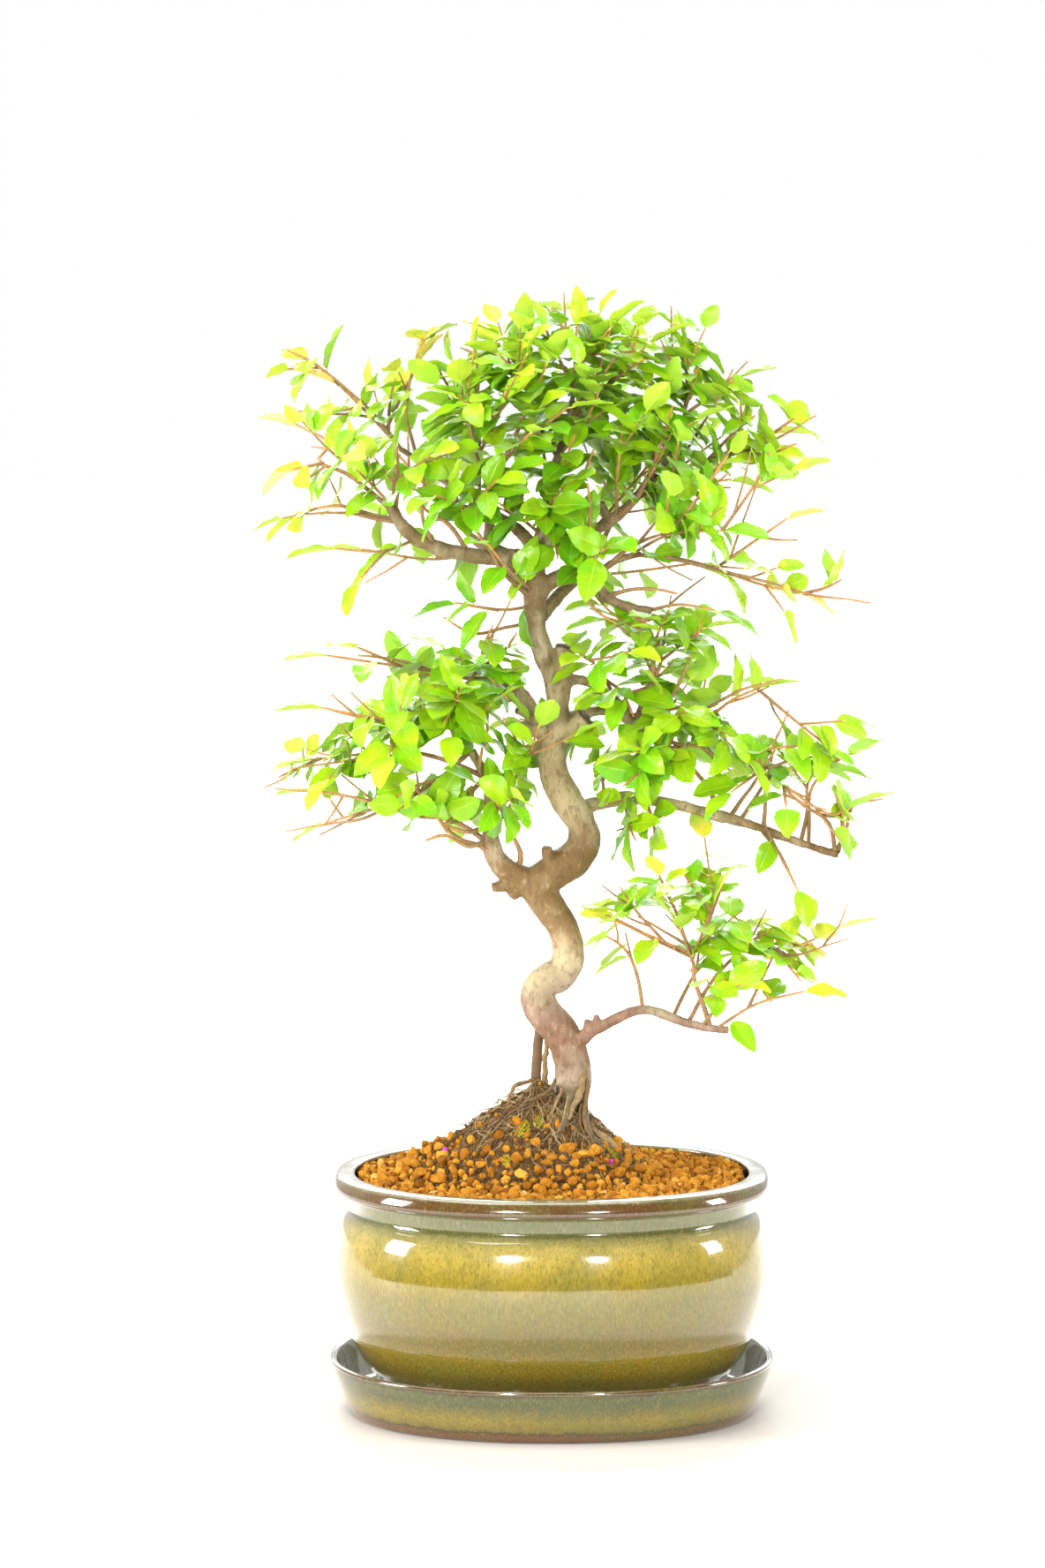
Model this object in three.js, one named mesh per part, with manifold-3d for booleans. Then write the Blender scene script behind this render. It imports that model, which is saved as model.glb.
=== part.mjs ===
import * as THREE from 'three';
import { mergeVertices } from 'three/addons/utils/BufferGeometryUtils.js';
import Module from 'manifold-3d';

// A bird plum bonsai in an oval glazed pot that stands in a drip tray.
// Sizes are in millimetres, +z is up, and the origin is the centre of the tray's flat underside.
// The front of the tree looks along -y.

const wasm = await Module();
wasm.setup();

const MERGE_DISTANCE = 1e-4;
const FINEST_EDGE = 1e-3; // what is closer than this in a finished solid is one point
const SEAT_GAP = 0.3; // left between pieces that touch
const CUT_GAP = 0.35; // left round a piece that another piece is cut to clear

// The pot and the tray are superellipses seen from above.
const PLAN_EXPONENT = 2.25; // 2 is an ellipse, more is squarer
const PLAN_DIFFERENCE = 18; // half length less half width
const PLAN_SIDES = 24;
const CORE_HALF_LENGTH = 45; // inside this, width shrinks in proportion to length

// Profiles are [half length, height], from the axis round the wall and back to the axis.
const TRAY_FLOOR = 5;
const TRAY_PROFILE = [
  [0, 0], [77.5, 0], [79.6, 5], [82, 13], [83.7, 20], [83.2, 21],
  [81.4, 21], [78.6, 12], [74.5, TRAY_FLOOR], [0, TRAY_FLOOR],
];
const FOOT_FACE = TRAY_FLOOR + SEAT_GAP;
const POT_FLOOR = 13;
const POT_PROFILE = [
  [0, 9.2], [52, 9.2], [53, FOOT_FACE], [59.5, FOOT_FACE], [61.5, 9], [70, 18], [76, 29], [80.5, 42],
  [82.8, 57], [79, 74], [76.3, 78], [76.6, 85.3], [82.2, 89.2], [82.5, 91],
  [73.8, 91], [73.2, 78], [77.4, 57], [71, 30], [58, POT_FLOOR], [0, POT_FLOOR],
];
const POT_INSIDE_START = 14; // the first point of the profile that is inside the pot
const FOOT_GAP_WIDTH = 34; // the gaps leave four feet of the foot ring
const FOOT_GAP_HEIGHT = 2.9; // above the feet's faces
const DRAIN_HOLE_RADIUS = 6;
const DRAIN_HOLE_SIDES = 12;
const DRAIN_HOLE_X = 30;
const CUTTER_LENGTH = 200; // more than the pot's length
const CUTTER_MARGIN = 1; // how far a cutter starts before what it cuts

const MESH_SIZE = 20;
const MESH_THICKNESS = 1;
const MESH_HOLES = 2; // along each side
const MESH_HOLE_SIZE = 6;
const MESH_PITCH = 8.5;

// The granule bed fills the pot. Its top is a field of lumps, each a raised point inside a ring of low ones.
const BED_CLEARANCE = 0.4; // to the pot's wall
const BED_CORNER_INSET = 1; // where the wall meets the pot's floor
const BED_TOP = 90.5;
const BED_HEADROOM = 20; // kept free over the bed for its lumps
const GRAIN_SPACING = 6.2; // between neighbouring points of the field
const GRAIN_RISE = [1.2, 3.1]; // of a granule's middle
const GRAIN_DIP_SHARE = 0.3; // how deep the low points lie, as a share of that
const GRAIN_JITTER = 0.8;
const BLOCK_LENGTH = 160; // more than the pot's inside, which cuts it
const BLOCK_WIDTH = 124;

// The root ball's profile is [share of its reach, height].
const ROOT_BALL_PROFILE = [
  [0, 58], [0.85, 60], [1, 93], [0.92, 99], [0.75, 105.5], [0.5, 113.5], [0.25, 119.5], [0, 121],
];
const ROOT_BALL_CENTRE_X = -7;
const ROOT_BALL_REACH = { left: 44, right: 39, front: 30, back: 33 };
const ROOT_BALL_SIDES = 16;
const ROOT_BALL_ROUGHNESS = 1.5;

// The wood is a list of branches. Each point is [x, y, z, radius].
const RING_START = [0.31, -0.95, 0.05]; // roughly where a branch's first corner points
const TRUNK_SIDES = 8;
const TRUNK_LINE = [
  [9.5, 0, 94, 12], [8.6, 0, 104, 10.3], [8, 0, 113, 8.5], [8, 0, 124, 7.3], [7.2, 0, 134, 6.9],
  [3, -1, 144, 6.6], [-3, -1, 151, 6.4], [-5.3, 0, 157, 6.5], [-3, 1, 162, 6.3], [3.5, 2, 165.5, 6.2],
  [6.2, 2, 172, 6.1], [4.8, 2, 181, 5.8], [-1, 0, 191, 6.3], [-5, 0, 198.5, 6.8], [1.5, 0, 204.5, 6.8],
  [8.5, 1, 209, 6.7], [12, 2, 215, 6.1], [11, 2, 222, 5.8], [6, 2, 230, 5.7], [1, 1, 240, 5.8],
  [-0.3, 0, 250, 5.8], [1, 0, 258, 5.2], [2, 1, 266, 4.2], [1, 1, 275, 3.9], [-3, 0, 285, 3.8],
  [-6, -1, 297, 3.7], [-6.3, -1, 310, 4.4], [-6.5, -1, 319, 4.4], [-5, 0, 326, 3.4],
];

// Thick and middling branches, with the number of sides of each.
const BRANCHES = {
  lowerLeftLimb: [6, [
    [-4, 0, 198, 5.5], [-11, -1, 201.5, 5], [-17, -2, 205, 4.5], [-21, -3, 210, 3.8],
    [-22.8, -4, 216, 3.4], [-23, -4, 222, 3.1], [-22.5, -3, 229, 2.8], [-23.5, -3, 236, 2.4],
    [-26, -4, 242.5, 2.1], [-30, -5, 250, 1.6],
  ]],
  leftUpperLimb: [5, [
    [0, 3, 254, 4], [-6, 8, 261, 3.2], [-12, 11, 270, 2.6], [-21, 12, 274, 2.2], [-31, 10, 276.5, 1.8],
    [-44, 8, 278.5, 1.3],
  ]],
  lowRightLimb: [5, [
    [5, -2, 138, 4], [11, -4, 141.5, 3], [16, -5, 145.5, 2.5], [21, -6, 147.8, 2.2], [29, -7, 151.8, 1.9],
    [36, -7, 153, 1.8], [45, -8, 150, 1.7], [55, -9, 147, 1.6], [66, -9, 145.5, 1.5],
  ]],
  rightMiddleLimb: [6, [
    [8, 4, 225, 3.4], [14, 7, 228, 2.8], [20, 7, 229.5, 2.4], [28, 6, 231, 2.9], [35, 5, 230.5, 2.2],
    [45, 4, 229, 2.1], [58, 3, 226, 2.1], [63, 3, 224.5, 2.4], [74, 2, 221.5, 1.7], [85, 1, 217.5, 1.6],
    [97, 0, 213.5, 1.5], [107, 0, 210.5, 1.8],
  ]],
  rightUpperLimb: [5, [
    [1, 2, 258, 3], [8, 6, 262, 2.2], [16, 7, 263.5, 1.9], [24, 5, 263.2, 1.9], [33, 0, 258.5, 2.4],
  ]],
  rightUpperFork: [5, [
    [2, 1, 270, 2.8], [7, 2, 275.5, 2.1], [13, 3, 275, 1.8], [20, 3, 270.5, 1.7], [29, 1, 264, 1.6],
  ]],
  crownRightLow: [5, [
    [-6, -1, 307, 3.6], [-1, -3, 312.5, 3.1], [4, -5, 314.5, 3], [10, -7, 315, 2.8], [15, -8, 313, 2.4],
    [20, -9, 307.5, 2], [27, -10, 304, 1.8], [37, -11, 302.5, 1.6],
  ]],
  crownRightShoulder: [5, [
    [13, -8, 313.5, 1.9], [19, -9, 318, 1.5], [25, -10, 321.5, 1.3], [33, -11, 323.5, 1.1],
  ]],
  crownRightHigh: [5, [
    [-6, 0, 321, 3.4], [-1, 1, 327, 2.8], [5, 2, 329, 2.6], [11, 3, 330.5, 2.5], [18, 5, 332.5, 2.3],
    [24, 6, 336.5, 2.1], [31, 8, 343, 1.8], [38, 9, 350.5, 1.6], [46, 10, 362, 1.2],
  ]],
  crownPaleStub: [5, [
    [21, 5, 334, 1.9], [18, 3, 342, 1.7],
  ]],
  crownUpright: [5, [
    [-6, -1, 318, 3.6], [-12, -3, 321.5, 3.4], [-18, -4, 322.5, 3], [-23, -5, 327, 2.2], [-23, -6, 336, 1.9],
    [-21.5, -7, 346, 1.7], [-19, -7, 356, 1.4],
  ]],
  crownLeftHigh: [5, [
    [-5, 2, 322, 3], [-11, 5, 330, 2.4], [-18, 7, 335, 2], [-28, 9, 341, 1.7], [-38, 10, 348, 1.5],
    [-47, 11, 355, 1.3], [-57, 12, 361.5, 1],
  ]],
  crownLeftLow: [5, [
    [-16, -4, 321.5, 3], [-24, -8, 322, 2.9], [-33, -10, 323.5, 2.8], [-42, -11, 325.5, 2.7],
    [-50, -11, 329, 2.6], [-55.5, -10, 334, 2.4], [-60, -10, 342, 1.9],
  ]],
  crownLeader: [5, [
    [-5, 0, 323, 3.3], [-3, 2, 334, 2.5], [-1, 4, 346, 2.1], [2, 5, 358, 1.7], [6, 6, 370, 1.4],
    [8, 6, 384, 1],
  ]],
  crownBackRight: [5, [
    [-5, 2, 299, 3], [2, 12, 306, 2.4], [10, 24, 313, 2], [17, 36, 321, 1.6], [22, 47, 330, 1.1],
  ]],
  crownBackLeft: [5, [
    [-6, 2, 306, 3], [-14, 14, 314, 2.3], [-24, 26, 322, 1.9], [-34, 38, 331, 1.5], [-42, 48, 341, 1.1],
  ]],
};

// Cut stubs and knobs: old pruning ends.
const STUB_SIDES = 4;
const STUBS = [
  [[2, 1, 268, 4.2], [3.5, 0, 278, 4.1], [5.2, -1, 289, 3.9]],
  [[4, 0, 255, 4.4], [12.5, -1.5, 262.5, 3.8]],
  [[-3, -1, 257, 3.2], [-15.5, -4, 259, 2.2]],
  [[-3, 0, 261, 2.6], [-13.5, -2, 265, 1.6]],
  [[-12, -2, 200, 3], [-22.5, -4, 198.5, 1.8]],
  [[-10, 0, 200, 3.4], [-15.5, -3, 194.8, 2.2]],
  [[0, -2, 203, 3.4], [-2, -4, 214, 1.9]],
  [[12.5, -4.5, 141.5, 1.6], [13.2, -5, 149, 1.1]],
  [[16, -5, 145, 1.5], [16.8, -5.5, 151, 1.1]],
  [[33, 0, 258, 1.6], [32.3, -1, 246.5, 1.1]],
  [[33.5, 0, 258, 1.5], [41, -1, 250, 1]],
];

// Roots that show on the mound, and the thin second stem behind the trunk.
const ROOT_SIDES = 4;
const ROOTS = [
  [[11, -2, 129, 2.6], [13.5, -6, 117, 2.4], [15, -10, 109, 2.3], [22, -13, 102, 1.6]],
  [[8, -4, 122, 2.6], [6, -11, 114, 2.3], [2, -18, 106, 1.6]],
  [[3, -3, 125, 2.4], [-5, -7, 119.5, 2.2], [-14, -10, 115.5, 2], [-24, -12, 109, 1.4]],
  [[12, 2, 123, 2.6], [18, 6, 113, 2.2], [24, 9, 102, 1.5]],
  [[6, 4, 122, 2.8], [3, 12, 114, 2.3], [-1, 20, 105, 1.5]],
  [[-4.5, 5, 146, 2], [-5.5, 6.5, 133, 2.2], [-6, 6.5, 119, 2.4]],
];

// A leaf's blade. Its outline runs round from the foot, and each point is [share of the length, share of the
// half width, share of the edge's rise].
const LEAF_OUTLINE = [[0, 0, 0], [0.36, -1, 1], [0.68, -0.8, 0.6], [1, 0, 0], [0.68, 0.8, 0.6], [0.36, 1, 1]];
const LEAF_FACES = [[0, 1, 5], [1, 4, 5], [1, 2, 4], [2, 3, 4]]; // of the upper side, as outline points
const LEAF_WIDTH_SHARE = 0.5; // of the length
const LEAF_THICKNESS = 0.72;
const LEAF_EDGE_RISE = 0.17; // as a share of the width
const LEAF_DROOP = 0.1; // fall of the tip, as a share of the length

// How a leaf stands on its shoot. A pair is the range that a draw is made from.
const LEAF_LENGTH = [15, 20];
const LEAF_TILT = [-0.35, 0.35]; // of its upper side, towards x and y
const LEAF_UPWARD = [0.45, 0.95]; // of its upper side
const LEAF_OUTWARD = 0.8; // of its upper side, away from the heart of its group
const LEAF_FORWARD = [0.25, 0.6]; // along the shoot
const LEAF_SIDEWAYS = [0.6, 0.95]; // across the shoot
const LEAF_SAG = [0.05, 0.45]; // downwards

const LEAF_SPACING = 14; // along a shoot
const LEAF_BARE_START = 7; // bare stretch at a shoot's foot
const LEAF_TRIES = 8; // draws until a leaf is clear of the others
const LAST_LEAF_SHARE = 0.97; // where the last leaf sits, as a share of the shoot's length
const SHOOT_RADIUS = [0.95, 0.7]; // at its foot and its tip
const SHOOT_SIDES = 3;

// The leafy sprays. Each group has the point that its leaves face away from. A spray's first shoot starts
// inside a branch and may be bare for some way, and its other shoots start on the first. Points are
// [x, y, z], with the radius after them where it isn't a leafy shoot's own.
const SPRAYS = {
  crown: { heart: [0, 5, 325], sprays: {
    apex: { shoots: [
      [[8, 6, 382], [8.5, 5, 395], [9, 4, 407]],
      [[8.3, 5.5, 390], [21, -4, 406]],
    ] },
    top_left: { shoots: [
      [[2, 5, 358], [-6, 3, 373], [-9, -1, 404]],
      [[-7.5, 1.3, 385], [-20, -10, 397]],
    ] },
    back_top: { shoots: [
      [[-1, 4, 346], [-3, 19, 359], [-6, 38, 384]],
      [[-3, 20, 360], [17, 33, 378]],
    ] },
    top_right: { shoots: [
      [[6, 6, 370], [18, 5, 382], [35, 1, 400]],
    ] },
    left_upright: { shoots: [
      [[-27, 9, 340.5], [-27, 4, 364], [-28, -1, 396]],
      [[-27, 3, 368], [-42, -10, 385]],
    ] },
    left_long: { shoots: [
      [[-56, 12, 361], [-68, 11, 374], [-80, 9, 386]],
      [[-62, 12, 368], [-50, 3, 393]],
    ] },
    left_high: { bare: 33, shoots: [
      [
        [-59.5, -10, 340, 1.5], [-68, -14, 347.5, 1.2], [-76, -16, 353.5, 1], [-86, -18, 358, 0.9],
        [-82, -13, 364], [-94, -11, 371],
      ],
      [[-84, -17.8, 357.2], [-96, -27, 355]],
      [[-80, -17, 355.5], [-74, -37, 362]],
    ] },
    left_low: { bare: 22, shoots: [
      [[-57, -10, 336, 1.6], [-66, -8, 337.5, 1.3], [-78, -6, 341, 1], [-87, -4, 340], [-96, -2, 337]],
    ] },
    left_under: { shoots: [
      [[-50, -11, 329], [-62, -19, 325], [-80, -21, 326]],
      [[-61, -18.6, 325.3], [-70, -35, 316]],
    ] },
    left_front: { shoots: [
      [[-59, -10, 339], [-58, -15, 352], [-57, -19, 364]],
      [[-58, -14, 350], [-44, -32, 361]],
    ] },
    front_left: { shoots: [
      [[-23, -6, 336], [-33, -19, 342], [-43, -35, 346]],
      [[-31, -17, 341], [-20, -37, 352]],
    ] },
    front: { bare: 23, shoots: [
      [[-19.5, -7, 354, 1.5], [-14, -7, 366, 1.2], [-10, -7, 375, 0.9], [-6, -12, 384], [-2, -16, 394]],
      [[-18, -7, 357], [-8, -36, 369]],
      [[-14, -19, 363], [6, -24, 378]],
    ] },
    low_left: { shoots: [
      [[-6, -2, 304], [-18, -13, 303], [-36, -18, 306]],
      [[-20, -14, 303], [-31, -33, 306]],
    ] },
    front_low_left: { shoots: [
      [[-7, -3, 309], [-15, -17, 317], [-24, -34, 329]],
    ] },
    front_low_right: { shoots: [
      [[8, -6, 315], [14, -20, 322], [22, -38, 329]],
    ] },
    right_low: { shoots: [
      [[36, -11, 302.8], [47, -14, 305], [60, -16, 303]],
    ] },
    right_long: { bare: 33, shoots: [
      [[31, -10.8, 323.2, 1.2], [50, -12, 321, 1], [63, -12, 317, 0.9], [78, -12, 312], [93, -11, 309]],
      [[60, -12, 318], [86, -20, 337]],
    ] },
    right_front: { shoots: [
      [[27, -10.3, 322], [43, -19, 331], [62, -28, 333]],
      [[41, -18, 330.3], [42, -37, 346]],
    ] },
    right_mid: { shoots: [
      [[31, 8, 343], [46, -4, 348], [66, -13, 351]],
      [[44, -3, 347.4], [46, -21, 365]],
    ] },
    right_high: { shoots: [
      [[38, 9, 350.5], [60, 12, 358], [84, 9, 368]],
    ] },
    right_top: { shoots: [
      [[45.5, 10, 361], [50, 9, 379], [49, 7, 399]],
      [[49, 9, 374], [69, 4, 388]],
    ] },
    back_right: { shoots: [
      [[21.5, 46, 329], [30, 54, 339], [38, 60, 349]],
    ] },
    back_left: { shoots: [
      [[-41.5, 47.5, 340], [-51, 54, 349], [-59, 58, 358]],
      [[-42.3, 48.2, 341], [-29, 60, 364]],
    ] },
    back_low_right: { shoots: [
      [[10, 24, 313], [30, 34, 314], [54, 38, 317]],
    ] },
    back_low_left: { shoots: [
      [[-24, 26, 322], [-46, 31, 319], [-72, 29, 323]],
      [[-42, 30.4, 319.4], [-62, 46, 334]],
    ] },
    back_mid: { shoots: [
      [[16, 4.5, 332], [28, 21, 345], [44, 38, 363]],
    ] },
  } },
  left_pad: { heart: [-42, 0, 238], sprays: {
    upper: { shoots: [
      [[-43, 8, 278.3], [-60, 6, 281], [-85, 3, 285]],
      [[-56, 6.5, 280.4], [-72, -11, 289]],
    ] },
    upper_front: { shoots: [
      [[-22, 12, 274], [-27, -4, 281], [-36, -19, 286]],
    ] },
    middle: { bare: 43, shoots: [
      [
        [-12, 11, 269, 1.9], [-24, 2, 266, 1.5], [-38, -6, 262, 1.3], [-49, -9, 260, 1], [-66, -13, 263],
        [-86, -14, 267],
      ],
      [[-55, -10.6, 261], [-60, -30, 251]],
      [[-37, -5.6, 262.2], [-37, -28, 258]],
    ] },
    outer: { bare: 39, shoots: [
      [
        [-25, -4, 240, 1.6], [-38, -6, 246, 1.3], [-50, -4, 249, 1.1], [-62, -2, 250, 0.9],
        [-75, 1, 247.5], [-89, 2, 246],
      ],
      [[-70, 0, 248.6], [-83, -19, 241]],
    ] },
    low_outer: { bare: 34, shoots: [
      [
        [-22, -4, 214, 1.8], [-33, 2, 221, 1.3], [-41, 5, 223.5, 1.1], [-51, 8, 224, 0.9], [-68, 6, 230],
        [-90, 4, 234],
      ],
      [[-62, 6.8, 228.2], [-86, 17, 220]],
      [[-33, 2, 221], [-46, 26, 233]],
    ] },
    low_front: { bare: 24, shoots: [
      [
        [-20, -3, 209, 1.7], [-27, -5, 214.5, 1.4], [-33, -7, 216.5, 1.2], [-39, -9, 221, 1],
        [-45, -15, 230], [-51, -19, 238],
      ],
    ] },
    inner: { bare: 25, shoots: [
      [
        [-14, -1, 203, 2.2], [-11.5, -3, 210, 1.5], [-14.5, -5, 218, 1.1], [-18, -6, 226, 0.9],
        [-22, -15, 233], [-28, -22, 240],
      ],
    ] },
    inner_right: { bare: 19, shoots: [
      [[-22.5, -3, 228, 1.3], [-16, -6, 236, 1.1], [-12, -8, 243, 0.9], [-8, -15, 251], [-5, -20, 261]],
    ] },
    rise: { shoots: [
      [[-29.5, -5, 249], [-30, -10, 259], [-23, -15, 268]],
    ] },
    back: { bare: 34, shoots: [
      [[-21, 12, 273, 1.6], [-34, 22, 268, 1.3], [-48, 29, 262, 0.9], [-60, 32, 260], [-73, 33, 257]],
      [[-50, 29.6, 261.8], [-49, 44, 276]],
    ] },
  } },
  right_pad: { heart: [38, 0, 252], sprays: {
    top: { bare: 27, shoots: [
      [
        [31, 1, 260, 1.7], [34, 0, 268, 1.4], [38, -1, 276, 1.2], [40.5, -2, 285, 0.9], [33, -8, 295],
        [20, -11, 300],
      ],
      [[40.2, -1.9, 283], [56, -6, 296]],
    ] },
    inner: { bare: 20, shoots: [
      [[24, 2.5, 267.5, 1.3], [20, 0, 276, 1], [17, -1, 281, 0.8], [14, -11, 284], [10, -20, 287]],
    ] },
    outer: { bare: 25, shoots: [
      [[34, 0, 258.6, 1.8], [44, -2, 260, 1.3], [58, -3, 262.5, 0.9], [67, -5, 269], [78, -6, 274]],
      [[55, -2.9, 262], [71, -19, 250]],
      [[43, -1.9, 260], [49, -24, 267]],
    ] },
    back: { bare: 29, shoots: [
      [[26, 4.4, 262, 1.5], [38, 15, 262, 1.2], [52, 23, 265, 0.9], [61, 28, 269], [70, 33, 273]],
    ] },
    back_upper: { bare: 18, shoots: [
      [[21, 2.7, 269.6, 1.4], [32, 8, 271, 1.1], [40, 12, 275, 0.8], [37, 19, 282], [32, 27, 289]],
    ] },
    low: { shoots: [
      [[40.5, -1, 250.8], [51, 4, 250], [62, 7, 247]],
    ] },
  } },
  right_limb: { heart: [80, 0, 218], sprays: {
    inner: { bare: 32, shoots: [
      [
        [61, 3, 225, 1.6], [59.5, -1, 234, 1.3], [55, -4, 240, 1.1], [46, -9, 250, 0.9], [39, -14, 251],
        [31, -19, 251],
      ],
    ] },
    middle: { bare: 32, shoots: [
      [
        [79, 2, 219.5, 1.3], [79.5, -3, 230, 1], [79, -6, 240, 0.9], [77, -8, 249, 0.8], [86, -10, 252],
        [97, -11, 252],
      ],
      [[78.4, -7, 243.4], [66, -19, 236]],
      [[79.2, 1, 222], [91, -12, 199]],
    ] },
    high: { bare: 24, shoots: [
      [[93, 1, 215, 1.2], [95.5, 3, 226, 1], [96, 4, 238, 0.8], [104, 7, 243], [111, 9, 247]],
    ] },
    end: { bare: 37, shoots: [
      [
        [106, 0, 210.8, 1.4], [103, -3, 223, 1], [93, -6, 230, 0.9], [85, -8, 238, 0.8], [104, -5, 226],
        [111, -6, 229],
      ],
      [[86, -7.8, 237], [86, -26, 231]],
    ] },
    back: { bare: 24, shoots: [
      [[70, 2, 222.5, 1.2], [76, 10, 230, 1], [82, 17, 237, 0.8], [90, 23, 239], [99, 28, 241]],
      [[80.4, 15.4, 235.4], [70, 34, 247]],
    ] },
  } },
  low_right: { heart: [62, 0, 150], sprays: {
    inner: { bare: 28, shoots: [
      [
        [59, -9, 146.6, 1.5], [57, -9, 153.5, 1.4], [53, -8, 165, 1.1], [52, -7, 173, 0.9],
        [42, -11, 179], [24, -13, 187],
      ],
      [[52, -7.2, 171], [60, -12, 194]],
      [[55.5, -9, 157], [70, -24, 165]],
    ] },
    left: { bare: 21, shoots: [
      [[34, -7, 153, 1.2], [32, -5, 165, 1], [29, -4, 173, 0.8], [25, -9, 178], [20, -16, 182]],
    ] },
    outer: { bare: 42, shoots: [
      [
        [51, -8, 148.4, 1.3], [58, -2, 160, 1.1], [66, 3, 169, 1], [77, 6, 176.5, 0.8], [91, 7, 175],
        [107, 9, 181],
      ],
    ] },
    end: { shoots: [
      [[61, -9, 146], [76, -13, 156], [94, -14, 161]],
      [[73, -12.4, 154.4], [84, -6, 176]],
    ] },
    back: { bare: 29, shoots: [
      [[45, -8, 150, 1.2], [50, 4, 158, 1], [56, 14, 166, 0.9], [64, 21, 171], [72, 27, 177]],
    ] },
  } },
};

const GLAZE = { color: 0x8f8a3e, roughness: 0.15, metalness: 0 };
const PLASTIC_MESH = { color: 0x2a2a28, roughness: 0.6, metalness: 0 };
const GRANULES = { color: 0x9a6a3f, roughness: 0.95, metalness: 0 };
const OLD_SOIL = { color: 0x3d2c20, roughness: 0.95, metalness: 0 };
const BARK = { color: 0x8b7763, roughness: 0.85, metalness: 0 };
const LEAF = { color: 0x5f9a35, roughness: 0.4, metalness: 0 };
const YOUNG_LEAF = { color: 0x9fbe3c, roughness: 0.4, metalness: 0 };

// Seeded draws

function drawsFrom(seed) {
  let state = seed;
  return (low, high) => {
    state = (state * 1664525 + 1013904223) % 4294967296;
    return low + (high - low) * (state / 4294967296);
  };
}

// Solids and geometries

function solidOf(geometry, distance = MERGE_DISTANCE) {
  const bare = new THREE.BufferGeometry();
  bare.setAttribute('position', geometry.attributes.position);
  if (geometry.index) bare.setIndex(geometry.index);
  const merged = mergeVertices(bare, distance);
  const corners = merged.index.array;
  const kept = [];
  for (let i = 0; i < corners.length; i += 3) {
    const [a, b, c] = corners.subarray(i, i + 3);
    if (a !== b && b !== c && c !== a) kept.push(a, b, c);
  }
  return new wasm.Manifold(new wasm.Mesh({
    numProp: 3,
    vertProperties: new Float32Array(merged.attributes.position.array),
    triVerts: new Uint32Array(kept),
  }));
}

function meshGeometry(solid) {
  const mesh = solid.getMesh();
  const geometry = new THREE.BufferGeometry();
  geometry.setAttribute('position', new THREE.BufferAttribute(mesh.vertProperties, 3));
  geometry.setIndex(new THREE.BufferAttribute(mesh.triVerts, 1));
  return geometry;
}

// The finished geometry of a solid, without the slivers that cutting leaves.
function geometryOf(solid) {
  const settled = largestPiece(solidOf(meshGeometry(solid), FINEST_EDGE));
  const geometry = meshGeometry(settled);
  geometry.computeVertexNormals();
  return geometry;
}

function joined(solids) {
  return solids.reduce((whole, solid) => whole.add(solid));
}

function largestPiece(solid) {
  const pieces = solid.decompose();
  return pieces.reduce((best, piece) => (piece.volume() > best.volume() ? piece : best));
}

function boxAt(width, depth, height, x, y, z) {
  return solidOf(new THREE.BoxGeometry(width, depth, height).translate(x, y, z));
}

// The pot and the tray

function ovalHalfWidth(halfLength) {
  if (halfLength > CORE_HALF_LENGTH) return halfLength - PLAN_DIFFERENCE;
  return halfLength * (1 - PLAN_DIFFERENCE / CORE_HALF_LENGTH);
}

function superellipse(angle) {
  const power = 2 / PLAN_EXPONENT;
  const bent = (value) => Math.sign(value) * Math.abs(value) ** power;
  return [bent(Math.cos(angle)), bent(Math.sin(angle))];
}

function ovalSolid(profile) {
  const points = profile.map(([halfLength, height]) => new THREE.Vector2(halfLength, height));
  const geometry = new THREE.LatheGeometry(points, PLAN_SIDES).rotateX(Math.PI / 2);
  const position = geometry.attributes.position;
  for (let i = 0; i < position.count; i += 1) {
    const halfLength = Math.hypot(position.getX(i), position.getY(i));
    const [x, y] = superellipse(Math.atan2(position.getY(i), position.getX(i)));
    position.setXY(i, x * halfLength, y * ovalHalfWidth(halfLength));
  }
  return solidOf(geometry);
}

function potSolid() {
  const height = FOOT_GAP_HEIGHT + CUTTER_MARGIN;
  const middle = FOOT_FACE + (FOOT_GAP_HEIGHT - CUTTER_MARGIN) / 2;
  let pot = ovalSolid(POT_PROFILE);
  pot = pot.subtract(boxAt(CUTTER_LENGTH, FOOT_GAP_WIDTH, height, 0, 0, middle));
  pot = pot.subtract(boxAt(FOOT_GAP_WIDTH, CUTTER_LENGTH, height, 0, 0, middle));
  for (const x of [-DRAIN_HOLE_X, DRAIN_HOLE_X]) {
    const depth = 2 * (POT_FLOOR - FOOT_FACE);
    const hole = new THREE.CylinderGeometry(DRAIN_HOLE_RADIUS, DRAIN_HOLE_RADIUS, depth, DRAIN_HOLE_SIDES);
    pot = pot.subtract(solidOf(hole.rotateX(Math.PI / 2).translate(x, 0, POT_FLOOR)));
  }
  return pot;
}

function drainMeshSolid() {
  let plate = boxAt(MESH_SIZE, MESH_SIZE, MESH_THICKNESS, 0, 0, MESH_THICKNESS / 2);
  for (let row = 0; row < MESH_HOLES; row += 1) {
    for (let column = 0; column < MESH_HOLES; column += 1) {
      const x = (column - (MESH_HOLES - 1) / 2) * MESH_PITCH;
      const y = (row - (MESH_HOLES - 1) / 2) * MESH_PITCH;
      plate = plate.subtract(boxAt(MESH_HOLE_SIZE, MESH_HOLE_SIZE, 3 * MESH_THICKNESS, x, y, 0));
    }
  }
  return plate;
}

// The soil

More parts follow.
